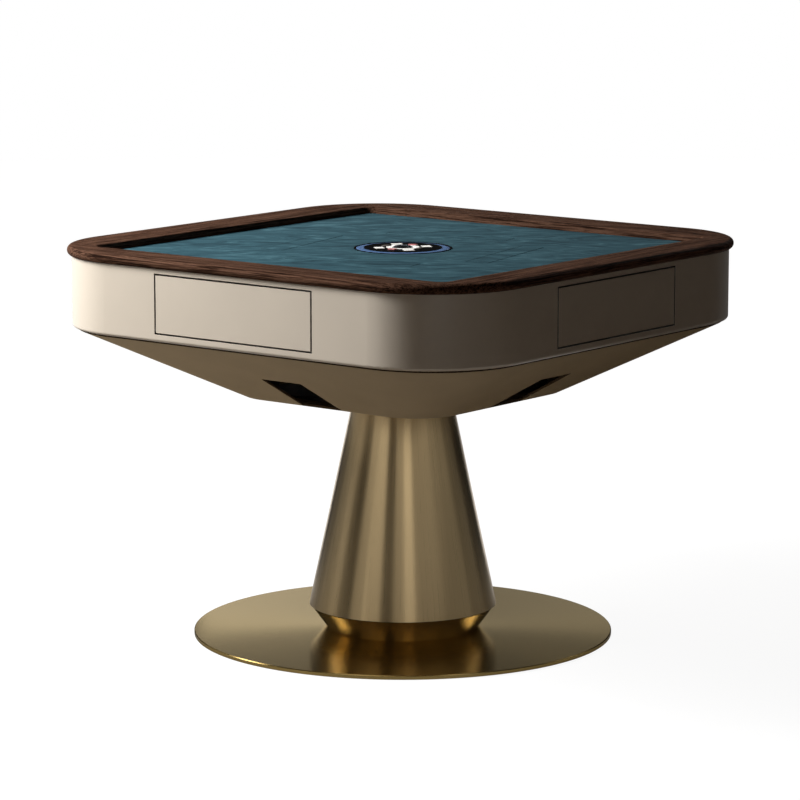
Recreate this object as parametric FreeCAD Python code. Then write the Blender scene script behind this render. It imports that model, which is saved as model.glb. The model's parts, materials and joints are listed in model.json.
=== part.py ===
import FreeCAD, Part
import math
import os

# Four-player automatic mahjong table on a brass pedestal, with a push-to-open drawer in each side.
# The origin is the centre of the base on the floor, +Z is up and the front side faces -Y.
# Lengths are millimetres, angles are degrees.

Vector = FreeCAD.Vector
UP = Vector(0, 0, 1)
ORIGIN = Vector(0, 0, 0)
SIDES = ("front", "right", "back", "left")
FULL_TURN = 360.0
QUARTER_TURN = 90.0
CORNER_SIGNS = ((1, -1), (1, 1), (-1, 1), (-1, -1))

# Whole table
TABLE_SIDE = 1000.0
TABLE_HEIGHT = 749.0
MACHINE_TURN = 12.5
CUT_OVERRUN = 5.0
RUNNING_GAP = 0.3
SHAFT_PLAY = 0.08

# Walnut rim
RIM_WIDTH = 90.0
RIM_THICKNESS = 18.5
RIM_CORNER_RADIUS = 192.0
RIM_INNER_RADIUS = 20.0
RIM_OVERHANG = 8.6
RIM_BEVEL_WIDTH = 18.0
RIM_BEVEL_DROP = 2.5
RIM_EDGE_ROUND = 2.0

# Tabletop board and felt
FELT_DROP = 15.0
FELT_THICKNESS = 1.5
FELT_EDGE_GAP = 0.5
BOARD_FLANGE_THICKNESS = 8.0
BOARD_FLANGE_GAP = 1.0

# Fascia panels and the drawer openings in them
FASCIA_THICKNESS = 15.0
FASCIA_EDGE_ROUND = 6.0
FASCIA_TOP_MARGIN = 9.2
FASCIA_BOTTOM_MARGIN = 14.3
DRAWER_SIDE_MARGIN = 124.2
DRAWER_OPENING_HEIGHT = 110.0
DRAWER_GAP = 2.2
DRAWER_EDGE_CHAMFER = 0.8

# Drawer trays, their runners and push latches
TRAY_SIDE_SPACE = 15.0
TRAY_BOTTOM_SPACE = 8.0
TRAY_TOP_SPACE = 17.0
TRAY_WALL = 4.0
TRAY_CORNER_RADIUS = 9.0
RUNNER_WIDTH = 8.5
RUNNER_HEIGHT = 10.0
RAIL_PLAY = 0.4
RAIL_WALL = 3.0
RAIL_FOOT = 12.0
RAIL_END_SPACE = 1.5
LATCH_WIDTH = 30.0
LATCH_HEIGHT = 22.0
LATCH_DEPTH = 9.0
LATCH_DROP = 23.0
PLUNGER_RADIUS = 4.0
PLUNGER_LENGTH = 6.0
LATCH_CLEARANCE = 6.0

# Shroud under the body
SHROUD_DEPTH = 136.0
SHROUD_LIP = 4.0
SHROUD_INSET = 11.0
SHROUD_BASE_SIDE = 476.0
SHROUD_BASE_RADIUS = 90.0
SHROUD_WALL = 4.0
VENT_WIDTH = 92.0
VENT_REACH = 119.0

# Base disc with its weight and pads
DISC_RADIUS = 397.0
DISC_EDGE_HEIGHT = 8.0
DISC_EDGE_ROUND = 1.5
DISC_CROWN = 4.0
DISC_SKIN = 1.5
DISC_FLOOR_GAP = 0.5
PAD_COUNT = 6
PAD_RADIUS = 22.0
PAD_THICKNESS = 2.0
PAD_INSET = 45.0
WEIGHT_GAP = 0.1

# Neck and cone of the pedestal
NECK_FOOT_RADIUS = 144.0
NECK_TOP_RADIUS = 174.0
CONE_FOOT_HEIGHT = 55.5
CONE_FOOT_RADIUS = 177.5
CONE_TOP_RADIUS = 91.5
CONE_SHADOW_GAP = 2.5
SHEET_THICKNESS = 1.5
NECK_SHELF = 19.0
NECK_UPSTAND_INSET = 9.0
NECK_UPSTAND_THICKNESS = 4.0
CONE_SHELF_RISE = 2.0
CONE_SHELF_REACH = 3.0

# Steel column inside the cone
COLUMN_RADIUS = 38.0
COLUMN_WALL = 4.0
COLUMN_FLANGE_THICKNESS = 8.0
COLUMN_FOOT_RADIUS = 92.0
COLUMN_HEAD_RADIUS = 84.0
BOLT_COUNT = 6
BOLT_RADIUS = 4.0
BOLT_PLAY = 0.2
BOLT_HEAD_RADIUS = 7.5
BOLT_HEAD_HEIGHT = 5.5
HEX_SIDES = 6
BOLT_CIRCLE_INSET = 18.0
BOLT_BITE = 6.0

# Chassis inside the body
CHASSIS_PLATE_SIDE = 400.0
CHASSIS_PLATE_THICKNESS = 5.0
CHASSIS_PLATE_BORE = 52.0
POST_SIDE = 30.0
POST_WALL = 2.5
LOWER_POST_INSET = 20.0
UPPER_POST_CLEARANCE = 5.0
DECK_SIDE = 640.0
DECK_DROP = 18.0
DECK_THICKNESS = 4.0
DECK_CORNER_RADIUS = 30.0

# Tile lifts, one in front of each player
LIFT_RADIUS = 211.0
LIFT_SLOT_LENGTH = 255.0
LIFT_SLOT_WIDTH = 46.0
LIFT_SLOT_ROUND = 3.0
LIFT_GAP = 1.0
LIFT_TRAVEL = 50.0
LIFT_BAR_THICKNESS = 11.5
LIFT_LEG_SIDE = 12.0
LIFT_LEG_SPREAD = 200.0
LIFT_LEG_LENGTH = 85.0
LIFT_SLOT_DROP = 52.0
GUIDE_TOWER_SIDE = 30.0
GUIDE_PLAY = 0.4
GUIDE_PLATE_THICKNESS = 4.0
GUIDE_TOP_SPACE = 17.0

# Cranks that drive the lifts and the console
CRANK_SWING = 60.0
ROLLER_RADIUS = 6.0
ROLLER_PLAY = 0.8
ROLLER_END = 1.5
YOKE_THICKNESS = 8.0
YOKE_WALL = 7.0
ARM_THICKNESS = 5.0
ARM_GAP = 1.0
ARM_TIP_RADIUS = 9.0
ARM_BOSS_RADIUS = 11.0
CRANK_SHAFT_RADIUS = 6.0
CRANK_SHAFT_LENGTH = 14.0

# Gear motors
MOTOR_GAP = 1.0
GEARBOX_SIDE = 44.0
GEARBOX_DEPTH = 26.0
MOTOR_CAN_RADIUS = 17.0
MOTOR_CAN_LENGTH = 16.0
MOTOR_BRACKET_WIDTH = 30.0
MOTOR_BRACKET_DEPTH = 12.0

# Console in the middle of the table
CONSOLE_TURN = 7.0
CONSOLE_RADIUS = 88.0
CONSOLE_FACE_RADIUS = 73.5
CONSOLE_PROUD = 2.0
CONSOLE_FACE_DEPTH = 8.0
CONSOLE_FLANGE_INSET = 3.0
CONSOLE_FLANGE_THICKNESS = 8.0
CONSOLE_BOSS_RADIUS = 30.0
CONSOLE_BOSS_HEIGHT = 6.0
CONSOLE_RING_GAP = 0.1
CONSOLE_RING_SINK = 1.0
CONSOLE_RING_EDGE = 6.0
CONSOLE_RING_SLOPE = 5.0
CONSOLE_TRAVEL = 45.0
COLLAR_GAP = 1.0
COLLAR_WALL = 2.0
COLLAR_SEAT_GAP = 0.2
COLLAR_BRIM = 1.2
COLLAR_BRIM_THICKNESS = 1.0
COLLAR_DEPTH = 24.0
KEY_RADIUS = 37.5
KEY_LENGTH = 17.0
KEY_WIDTH = 10.0
KEY_ROUND = 3.0
KEY_PROUD = 1.2
KEY_POCKET_DEPTH = 7.0
KEY_TRAVEL = 1.5
KEY_TRAVEL_SPARE = 0.5
WINDOW_INNER_RADIUS = 37.0
WINDOW_LENGTH = 17.0
WINDOW_WIDTH = 20.0
WINDOW_DEPTH = 3.0
WINDOW_PROUD = 0.4
LIGHT_INNER_RADIUS = 22.5
LIGHT_WIDTH = 9.0
LIGHT_SWEEP = 58.0

# Dice bowl and dome
BOWL_RADIUS = 17.0
BOWL_DEPTH = 12.0
DOME_RADIUS = 20.0
DOME_HEIGHT = 5.0
DOME_WALL = 1.2
DIE_COUNT = 2
DIE_SIDE = 9.0
DIE_SPREAD = 13.0
DIE_ROUND = 0.9

# Console stem and its guide
STEM_RADIUS = 16.0
GUIDE_TUBE_WALL = 4.0
GUIDE_TUBE_FLANGE_RADIUS = 40.0
GUIDE_TUBE_FLANGE_THICKNESS = 5.0
GUIDE_TUBE_TOP_SPACE = 31.0
STEM_TAIL = 45.0
STEM_SLOT_DROP = 25.0
STEM_CRANK_OFFSET = 42.0
DECK_BORE_SPACE = 6.0

# Shuffle drum and its drive
DRUM_CLEARANCE = 8.0
DRUM_WALL = 4.0
DRUM_HEIGHT = 98.0
DRUM_HUB_SPACE = 8.0
DRUM_RIB_COUNT = 8
DRUM_RIB_HEIGHT = 6.0
DRUM_RIB_WIDTH = 5.0
DRUM_RIB_END_SPACE = 6.0
BEARING_HEIGHT = 12.7
BEARING_RADIUS = 125.0
BEARING_WIDTH = 25.0
WHEEL_RADIUS = 24.7
WHEEL_HEIGHT = 20.0
WHEEL_RISE = 48.0
WHEEL_SHAFT_RADIUS = 6.0
WHEEL_SHAFT_BITE = 18.0
WHEEL_SHAFT_SPACE = 3.0
DRUM_MOTOR_RADIUS = 24.0
DRUM_MOTOR_HEIGHT = 62.0

# Electrics
CONTROL_BOX_LENGTH = 120.0
CONTROL_BOX_WIDTH = 85.0
CONTROL_BOX_HEIGHT = 36.0
CONTROL_BOX_INSET = 20.0
CONTROL_BOX_ROUND = 5.0
INLET_LENGTH = 28.0
INLET_WIDTH = 20.0
INLET_HEIGHT = 27.0
INLET_PLAY = 0.2
INLET_FLANGE_LENGTH = 50.0
INLET_FLANGE_WIDTH = 24.0
INLET_FLANGE_THICKNESS = 1.5
INLET_SOCKET_LENGTH = 24.0
INLET_SOCKET_WIDTH = 16.0
INLET_SOCKET_DEPTH = 16.0
INLET_EDGE_SPACE = 19.0

# Levels and half widths that follow from the sizes above
RIM_HALF = TABLE_SIDE / 2
RIM_INNER_HALF = RIM_HALF - RIM_WIDTH
RIM_BOTTOM = TABLE_HEIGHT - RIM_THICKNESS
CORNER_CENTRE = RIM_HALF - RIM_CORNER_RADIUS
FELT_TOP = TABLE_HEIGHT - FELT_DROP
BOARD_TOP = FELT_TOP - FELT_THICKNESS
BOARD_BOTTOM = RIM_BOTTOM - BOARD_FLANGE_THICKNESS
FASCIA_HALF = RIM_HALF - RIM_OVERHANG
FASCIA_INNER_HALF = FASCIA_HALF - FASCIA_THICKNESS
DRAWER_OPENING_WIDTH = 2 * (CORNER_CENTRE - DRAWER_SIDE_MARGIN)
OPENING_TOP = RIM_BOTTOM - FASCIA_TOP_MARGIN
OPENING_BOTTOM = OPENING_TOP - DRAWER_OPENING_HEIGHT
FASCIA_BOTTOM = OPENING_BOTTOM - FASCIA_BOTTOM_MARGIN
SHROUD_BOTTOM = FASCIA_BOTTOM - SHROUD_DEPTH
SHROUD_TOP_HALF = FASCIA_HALF - SHROUD_INSET
SHROUD_BASE_HALF = SHROUD_BASE_SIDE / 2
SHROUD_FLOOR_TOP = SHROUD_BOTTOM + SHROUD_WALL
CHASSIS_TOP = SHROUD_FLOOR_TOP + CHASSIS_PLATE_THICKNESS
DECK_TOP = FASCIA_BOTTOM - DECK_DROP
DECK_BOTTOM = DECK_TOP - DECK_THICKNESS
DISC_NECK_HEIGHT = DISC_EDGE_HEIGHT + DISC_CROWN
WEIGHT_TOP = DISC_NECK_HEIGHT - DISC_SKIN - WEIGHT_GAP
COLUMN_HEAD_BOTTOM = SHROUD_BOTTOM - COLUMN_FLANGE_THICKNESS
COLUMN_FOOT_TOP = WEIGHT_TOP + COLUMN_FLANGE_THICKNESS
FOOT_BOLT_CIRCLE = COLUMN_FOOT_RADIUS - BOLT_CIRCLE_INSET
HEAD_BOLT_CIRCLE = COLUMN_HEAD_RADIUS - BOLT_CIRCLE_INSET
LIFT_CRANK_ARM = LIFT_TRAVEL / 2 / math.sin(math.radians(CRANK_SWING / 2))
CONSOLE_CRANK_ARM = CONSOLE_TRAVEL / 2 / math.sin(math.radians(CRANK_SWING / 2))
ARM_FACE = YOKE_THICKNESS / 2 + ARM_GAP
MOTOR_FACE = ARM_FACE + ARM_THICKNESS + MOTOR_GAP
MOTOR_BACK = MOTOR_FACE + GEARBOX_DEPTH + MOTOR_CAN_LENGTH
CONSOLE_TOP = FELT_TOP + CONSOLE_PROUD
CONSOLE_FACE_BOTTOM = CONSOLE_TOP - CONSOLE_FACE_DEPTH
CONSOLE_FLANGE_BOTTOM = CONSOLE_FACE_BOTTOM - CONSOLE_FLANGE_THICKNESS
CONSOLE_BOTTOM = CONSOLE_FLANGE_BOTTOM - CONSOLE_BOSS_HEIGHT
COLLAR_INNER_RADIUS = CONSOLE_RADIUS + COLLAR_GAP
COLLAR_OUTER_RADIUS = COLLAR_INNER_RADIUS + COLLAR_WALL
WELL_RADIUS = COLLAR_OUTER_RADIUS + COLLAR_SEAT_GAP
STEM_BOTTOM = DECK_BOTTOM - STEM_TAIL
STEM_SLOT_HEIGHT = STEM_BOTTOM - STEM_SLOT_DROP
DRUM_BOTTOM = DECK_TOP + BEARING_HEIGHT + RUNNING_GAP
DRUM_RADIUS = LIFT_RADIUS - LIFT_SLOT_WIDTH / 2 - DRUM_CLEARANCE
DRUM_HUB_RADIUS = STEM_RADIUS + GUIDE_TUBE_WALL + DRUM_HUB_SPACE
WHEEL_DISTANCE = DRUM_RADIUS + WHEEL_RADIUS + RUNNING_GAP
WHEEL_X = WHEEL_DISTANCE * math.cos(math.radians(QUARTER_TURN / 2))
WHEEL_Y = WHEEL_DISTANCE * math.sin(math.radians(QUARTER_TURN / 2))

# Drawer trays reach back to the latches, which stand clear of the lift motors
TRAY_BOTTOM = OPENING_BOTTOM + TRAY_BOTTOM_SPACE
TRAY_TOP = OPENING_TOP - TRAY_TOP_SPACE
TRAY_HALF = DRAWER_OPENING_WIDTH / 2 - TRAY_SIDE_SPACE
RUNNER_MIDDLE = (TRAY_BOTTOM + TRAY_TOP) / 2
MACHINE_REACH = math.hypot(LIFT_RADIUS + MOTOR_BACK, LIFT_CRANK_ARM / 2 + MOTOR_CAN_RADIUS)
LATCH_BACK = MACHINE_REACH + LATCH_CLEARANCE
TRAY_BACK = LATCH_BACK + LATCH_DEPTH + PLUNGER_LENGTH + RUNNING_GAP


def box(x_range, y_range, z_range):
    """Block between two values along each axis."""
    corner = Vector(x_range[0], y_range[0], z_range[0])
    size = [high - low for low, high in (x_range, y_range, z_range)]
    return Part.makeBox(*size, corner)


def cylinder(radius, z_low, z_high, x=0.0, y=0.0):
    """Upright round bar."""
    return Part.makeCylinder(radius, z_high - z_low, Vector(x, y, z_low))


def bar_along_y(radius, y_low, y_high, x, z):
    """Round bar lying along Y."""
    return Part.makeCylinder(radius, y_high - y_low, Vector(x, y_low, z), Vector(0, 1, 0))


def ring(outer, inner, z_low, z_high):
    """Upright tube about the table's axis."""
    return cylinder(outer, z_low, z_high).cut(cylinder(inner, z_low, z_high))


def spun(points):
    """Solid of revolution about the table's axis from (radius, height) points."""
    corners = [Vector(radius, 0, height) for radius, height in points]
    outline = Part.makePolygon(corners + corners[:1])
    return Part.Face(outline).revolve(ORIGIN, UP, FULL_TURN)


def turned(shape, angle):
    """Copy of a shape turned about the table's axis."""
    copy = shape.copy()
    copy.rotate(ORIGIN, UP, angle)
    return copy


def moved(shape, x=0.0, y=0.0, z=0.0):
    """Copy of a shape shifted by an offset."""
    copy = shape.copy()
    copy.translate(Vector(x, y, z))
    return copy


def mirrored(shape):
    """Copy of a shape reflected to the other side of the front's centre line."""
    return shape.mirror(ORIGIN, Vector(1, 0, 0))


def round_of(shape, count, start=0.0):
    """Evenly turned copies of a shape about the table's axis."""
    return [turned(shape, start + FULL_TURN * step / count) for step in range(count)]


def group(solids):
    """Separate solids kept together in one node."""
    return Part.makeCompound(solids)


def rounded_outline(half_x, half_y, radius, z, y_centre=0.0):
    """Closed rectangle with round corners, centred on X = 0."""
    arcs = []
    for quarter, (sign_x, sign_y) in enumerate(CORNER_SIGNS):
        centre = Vector(sign_x * (half_x - radius), y_centre + sign_y * (half_y - radius), z)
        start = QUARTER_TURN * (quarter - 1)
        arcs.append(Part.makeCircle(radius, centre, UP, start, start + QUARTER_TURN))
    edges = []
    for index, arc in enumerate(arcs):
        before = arcs[index - 1]
        edges.append(Part.makeLine(before.valueAt(before.LastParameter), arc.valueAt(arc.FirstParameter)))
        edges.append(arc)
    return Part.Wire(edges)


def slab(half_x, half_y, radius, z_low, z_high, y_centre=0.0):
    """Plate with round corners."""
    outline = rounded_outline(half_x, half_y, radius, z_low, y_centre)
    return Part.Face(outline).extrude(Vector(0, 0, z_high - z_low))


def edges_within(shape, x_limit, y_plane, z_range):
    """Edges of a shape that lie in one plane of Y, inside a window of X and Z."""
    slack = RUNNING_GAP
    chosen = []
    for edge in shape.Edges:
        ends = [vertex.Point for vertex in edge.Vertexes]
        flat = all(abs(point.y - y_plane) < slack for point in ends)
        narrow = all(abs(point.x) < x_limit + slack for point in ends)
        level = all(z_range[0] - slack < point.z < z_range[1] + slack for point in ends)
        if flat and narrow and level:
            chosen.append(edge)
    return chosen


def edges_around(shape, half, z):
    """Edges of a shape at one height that lie within a square about the table's axis."""
    reach = half + RUNNING_GAP
    chosen = []
    for edge in shape.Edges:
        ends = [vertex.Point for vertex in edge.Vertexes]
        level = all(abs(point.z - z) < RUNNING_GAP for point in ends)
        near = all(max(abs(point.x), abs(point.y)) < reach for point in ends)
        if level and near:
            chosen.append(edge)
    return chosen


def section_face(edges):
    """Flat face in the plane X = 0 from edges in order."""
    return Part.Face(Part.Wire(edges))


def line(start, end):
    """Straight edge in the plane X = 0 between two (y, z) points."""
    return Part.makeLine(Vector(0, *start), Vector(0, *end))


def arc(start, middle, end):
    """Round edge in the plane X = 0 through three (y, z) points."""
    return Part.Arc(Vector(0, *start), Vector(0, *middle), Vector(0, *end)).toShape()


def straight_run(section, half_length):
    """Section pushed along the front side."""
    return moved(section, x=-half_length).extrude(Vector(2 * half_length, 0, 0))


def corner_bend(section, sign, sweep):
    """Section swept round one front corner of the table."""
    centre = Vector(sign * CORNER_CENTRE, -CORNER_CENTRE, 0)
    return moved(section, x=sign * CORNER_CENTRE).revolve(centre, UP, sign * sweep)


def rim_section():
    """Rim profile: flat top and bottom, a full bullnose outside, and spare width inside."""
    nose = RIM_THICKNESS / 2
    inner = -(CORNER_CENTRE + RIM_INNER_HALF) / 2
    crown = -(RIM_HALF - nose)
    return section_face([
        line((inner, RIM_BOTTOM), (inner, TABLE_HEIGHT)),
        line((inner, TABLE_HEIGHT), (crown, TABLE_HEIGHT)),
        arc((crown, TABLE_HEIGHT), (-RIM_HALF, RIM_BOTTOM + nose), (crown, RIM_BOTTOM)),
        line((crown, RIM_BOTTOM), (inner, RIM_BOTTOM)),
    ])


def rim_rail():
    """Front rail of the rim, mitred at the corners' diagonals, with a shallow bevel down to the felt."""
    section = rim_section()
    ends = [corner_bend(section, sign, QUARTER_TURN / 2) for sign in (-1, 1)]
    rail = straight_run(section, CORNER_CENTRE).fuse(ends).removeSplitter()
    rail = rail.cut(slab(RIM_INNER_HALF, RIM_INNER_HALF, RIM_INNER_RADIUS, RIM_BOTTOM, TABLE_HEIGHT))
    bevel_low = TABLE_HEIGHT - RIM_BEVEL_DROP
    bevel_half = RIM_INNER_HALF + RIM_BEVEL_WIDTH
    low = rounded_outline(RIM_INNER_HALF, RIM_INNER_HALF, RIM_INNER_RADIUS, bevel_low)
    high = rounded_outline(bevel_half, bevel_half, RIM_INNER_RADIUS + RIM_BEVEL_WIDTH, TABLE_HEIGHT)
    rail = rail.cut(Part.makeLoft([low, high], True, True))
    return rail.makeFillet(RIM_EDGE_ROUND, edges_around(rail, RIM_INNER_HALF, bevel_low))


def fascia_section():
    """Fascia profile with its lower outer edge rounded."""
    round_middle = FASCIA_EDGE_ROUND * (1 - math.sqrt(0.5))
    top_inner = (-FASCIA_INNER_HALF, RIM_BOTTOM)
    top_outer = (-FASCIA_HALF, RIM_BOTTOM)
    round_start = (-FASCIA_HALF, FASCIA_BOTTOM + FASCIA_EDGE_ROUND)
    round_middle_point = (-FASCIA_HALF + round_middle, FASCIA_BOTTOM + round_middle)
    round_end = (-FASCIA_HALF + FASCIA_EDGE_ROUND, FASCIA_BOTTOM)
    low_inner = (-FASCIA_INNER_HALF, FASCIA_BOTTOM)
    return section_face([
        line(top_inner, top_outer),
        line(top_outer, round_start),
        arc(round_start, round_middle_point, round_end),
        line(round_end, low_inner),
        line(low_inner, top_inner),
    ])


def fascia_panel():
    """Front fascia with its drawer opening, whose outer edge is eased."""
    panel = straight_run(fascia_section(), CORNER_CENTRE)
    half = DRAWER_OPENING_WIDTH / 2
    heights = (OPENING_BOTTOM, OPENING_TOP)
    through = (-FASCIA_HALF - CUT_OVERRUN, -FASCIA_INNER_HALF + CUT_OVERRUN)
    panel = panel.cut(box((-half, half), through, heights))
    return panel.makeChamfer(DRAWER_EDGE_CHAMFER, edges_within(panel, half, -FASCIA_HALF, heights))


def fascia_corner():
    """Quarter-round fascia between the front and right panels."""
    return corner_bend(fascia_section(), 1, QUARTER_TURN)


def drawer_panel():
    """Flush front of the front drawer."""
    half = DRAWER_OPENING_WIDTH / 2 - DRAWER_GAP
    heights = (OPENING_BOTTOM + DRAWER_GAP, OPENING_TOP - DRAWER_GAP)
    panel = box((-half, half), (-FASCIA_HALF, -FASCIA_INNER_HALF), heights)
    return panel.makeChamfer(DRAWER_EDGE_CHAMFER, edges_within(panel, half, -FASCIA_HALF, heights))


def drawer_tray():
    """Open tray behind the front drawer panel, with a runner along each side."""
    depth = FASCIA_INNER_HALF - TRAY_BACK
    middle = -(FASCIA_INNER_HALF + TRAY_BACK) / 2
    outer = slab(TRAY_HALF, depth / 2, TRAY_CORNER_RADIUS, TRAY_BOTTOM, TRAY_TOP, middle)
    inner_half = TRAY_HALF - TRAY_WALL
    inner_round = TRAY_CORNER_RADIUS - TRAY_WALL
    floor = TRAY_BOTTOM + TRAY_WALL
    hollow = slab(inner_half, depth / 2 - TRAY_WALL, inner_round, floor, TRAY_TOP + CUT_OVERRUN, middle)
    ends = (-FASCIA_INNER_HALF + TRAY_CORNER_RADIUS, -TRAY_BACK - TRAY_CORNER_RADIUS)
    heights = (RUNNER_MIDDLE - RUNNER_HEIGHT / 2, RUNNER_MIDDLE + RUNNER_HEIGHT / 2)
    runner = box((inner_half, TRAY_HALF + RUNNER_WIDTH), ends, heights)
    return outer.fuse([runner, mirrored(runner)]).cut(hollow).removeSplitter()


def drawer_rail():
    """Channel on the right of the front drawer, hung from the tabletop board."""
    mouth = TRAY_HALF + RAIL_END_SPACE
    back = TRAY_HALF + RUNNER_WIDTH + RAIL_END_SPACE
    outside = back + RAIL_WALL
    groove_low = RUNNER_MIDDLE - RUNNER_HEIGHT / 2 - RAIL_PLAY
    groove_high = RUNNER_MIDDLE + RUNNER_HEIGHT / 2 + RAIL_PLAY
    corners = [
        (mouth, groove_low - RAIL_WALL),
        (outside, groove_low - RAIL_WALL),
        (outside, BOARD_BOTTOM - RAIL_WALL),
        (outside + RAIL_FOOT, BOARD_BOTTOM - RAIL_WALL),
        (outside + RAIL_FOOT, BOARD_BOTTOM),
        (back, BOARD_BOTTOM),
        (back, groove_high + RAIL_WALL),
        (mouth, groove_high + RAIL_WALL),
        (mouth, groove_high),
        (back, groove_high),
        (back, groove_low),
        (mouth, groove_low),
    ]
    front = -FASCIA_INNER_HALF + RAIL_END_SPACE
    points = [Vector(x, front, z) for x, z in corners]
    face = Part.Face(Part.makePolygon(points + points[:1]))
    return face.extrude(Vector(0, -TRAY_BACK - front, 0))


def drawer_rails():
    """Both channels of each drawer."""
    right = drawer_rail()
    return group(round_of(right, len(SIDES)) + round_of(mirrored(right), len(SIDES)))


def drawer_latch():
    """Push latch behind the front drawer, hung from the tabletop board."""
    half = LATCH_WIDTH / 2
    top = BOARD_BOTTOM - LATCH_DROP
    front = -LATCH_BACK - LATCH_DEPTH
    body = box((-half, half), (front, -LATCH_BACK), (top - LATCH_HEIGHT, top))
    hanger = box((-half, half), (-LATCH_BACK - RAIL_WALL, -LATCH_BACK), (top, BOARD_BOTTOM))
    plunger = bar_along_y(PLUNGER_RADIUS, front - PLUNGER_LENGTH, front, 0, top - LATCH_HEIGHT / 2)
    return body.fuse([hanger, plunger])


def shroud_outline(z, inset=0.0):
    """Outline of the shroud at a height, drawn in by an inset."""
    slope_top = FASCIA_BOTTOM - SHROUD_LIP
    rise = min(z, slope_top) - SHROUD_BOTTOM
    rise_share = rise / (slope_top - SHROUD_BOTTOM)
    half = SHROUD_BASE_HALF + rise_share * (SHROUD_TOP_HALF - SHROUD_BASE_HALF)
    top_radius = SHROUD_TOP_HALF - CORNER_CENTRE
    radius = SHROUD_BASE_RADIUS + rise_share * (top_radius - SHROUD_BASE_RADIUS)
    return rounded_outline(half - inset, half - inset, radius - inset, z)


def shroud():
    """Inverted pyramid under the body, with a flat floor and an opening in each slope."""
    slope_top = FASCIA_BOTTOM - SHROUD_LIP
    run = SHROUD_TOP_HALF - SHROUD_BASE_HALF
    inset = SHROUD_WALL * math.hypot(run, slope_top - SHROUD_BOTTOM) / (slope_top - SHROUD_BOTTOM)
    levels = (SHROUD_BOTTOM, slope_top, FASCIA_BOTTOM)
    hollow_levels = (SHROUD_FLOOR_TOP, slope_top, FASCIA_BOTTOM + CUT_OVERRUN)
    shell = Part.makeLoft([shroud_outline(z) for z in levels], True, True)
    shell = shell.cut(Part.makeLoft([shroud_outline(z, inset) for z in hollow_levels], True, True))
    half = VENT_WIDTH / 2
    lengths = (-SHROUD_BASE_HALF - VENT_REACH, -SHROUD_BASE_HALF)
    vent = box((-half, half), lengths, (SHROUD_BOTTOM - CUT_OVERRUN, FASCIA_BOTTOM))
    shell = shell.cut(round_of(vent, len(SIDES)))
    shell = shell.cut(cylinder(COLUMN_RADIUS, SHROUD_BOTTOM, SHROUD_FLOOR_TOP))
    shell = shell.cut(head_bolt_holes(SHROUD_BOTTOM, SHROUD_FLOOR_TOP))
    return shell.cut(inlet_body(INLET_PLAY))


def head_bolt_holes(z_low, z_high):
    """Clear holes for the bolts at the column's head."""
    hole = cylinder(BOLT_RADIUS + BOLT_PLAY, z_low, z_high, HEAD_BOLT_CIRCLE)
    return round_of(hole, BOLT_COUNT)


def foot_bolt_holes(z_low, z_high):
    """Clear holes for the bolts at the column's foot."""
    hole = cylinder(BOLT_RADIUS + BOLT_PLAY, z_low, z_high, FOOT_BOLT_CIRCLE)
    return round_of(hole, BOLT_COUNT)


def base_disc():
    """Spun cover of the base: a crowned skin with a turned-down edge."""
    skin_inner = NECK_FOOT_RADIUS - NECK_SHELF
    edge_inner = DISC_RADIUS - DISC_SKIN
    return spun([
        (skin_inner, DISC_NECK_HEIGHT),
        (NECK_FOOT_RADIUS, DISC_NECK_HEIGHT),
        (DISC_RADIUS - DISC_EDGE_ROUND, DISC_EDGE_HEIGHT),
        (DISC_RADIUS, DISC_EDGE_HEIGHT - DISC_EDGE_ROUND),
        (DISC_RADIUS, DISC_FLOOR_GAP),
        (edge_inner, DISC_FLOOR_GAP),
        (edge_inner, DISC_EDGE_HEIGHT - DISC_EDGE_ROUND - DISC_SKIN / 2),
        (NECK_FOOT_RADIUS, DISC_NECK_HEIGHT - DISC_SKIN),
        (skin_inner, DISC_NECK_HEIGHT - DISC_SKIN),
    ])


def base_weight():
    """Steel plate that fills the base under its cover."""
    edge = DISC_RADIUS - DISC_SKIN - WEIGHT_GAP
    edge_top = DISC_EDGE_HEIGHT - DISC_EDGE_ROUND - DISC_SKIN / 2 - WEIGHT_GAP
    plate = spun([
        (0, PAD_THICKNESS),
        (edge, PAD_THICKNESS),
        (edge, edge_top),
        (NECK_FOOT_RADIUS, WEIGHT_TOP),
        (0, WEIGHT_TOP),
    ])
    return plate.cut(foot_bolt_holes(WEIGHT_TOP - BOLT_BITE, WEIGHT_TOP))


def base_pads():
    """Rubber pads that the base stands on."""
    pad = cylinder(PAD_RADIUS, 0, PAD_THICKNESS, DISC_RADIUS - PAD_INSET)
    return group(round_of(pad, PAD_COUNT))


def base_neck():
    """Polished foot of the pedestal, which widens up to the shadow gap under the cone."""
    top = CONE_FOOT_HEIGHT - CONE_SHADOW_GAP
    upstand_outer = NECK_TOP_RADIUS - NECK_UPSTAND_INSET
    upstand_inner = upstand_outer - NECK_UPSTAND_THICKNESS
    upstand_top = CONE_FOOT_HEIGHT + CONE_SHELF_RISE
    return spun([
        (NECK_FOOT_RADIUS - SHEET_THICKNESS, DISC_NECK_HEIGHT),
        (NECK_FOOT_RADIUS, DISC_NECK_HEIGHT),
        (NECK_TOP_RADIUS, top),
        (upstand_outer, top),
        (upstand_outer, upstand_top),
        (upstand_inner, upstand_top),
        (upstand_inner, top - SHEET_THICKNESS),
        (NECK_TOP_RADIUS - 2 * SHEET_THICKNESS, top - SHEET_THICKNESS),
    ])


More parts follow.
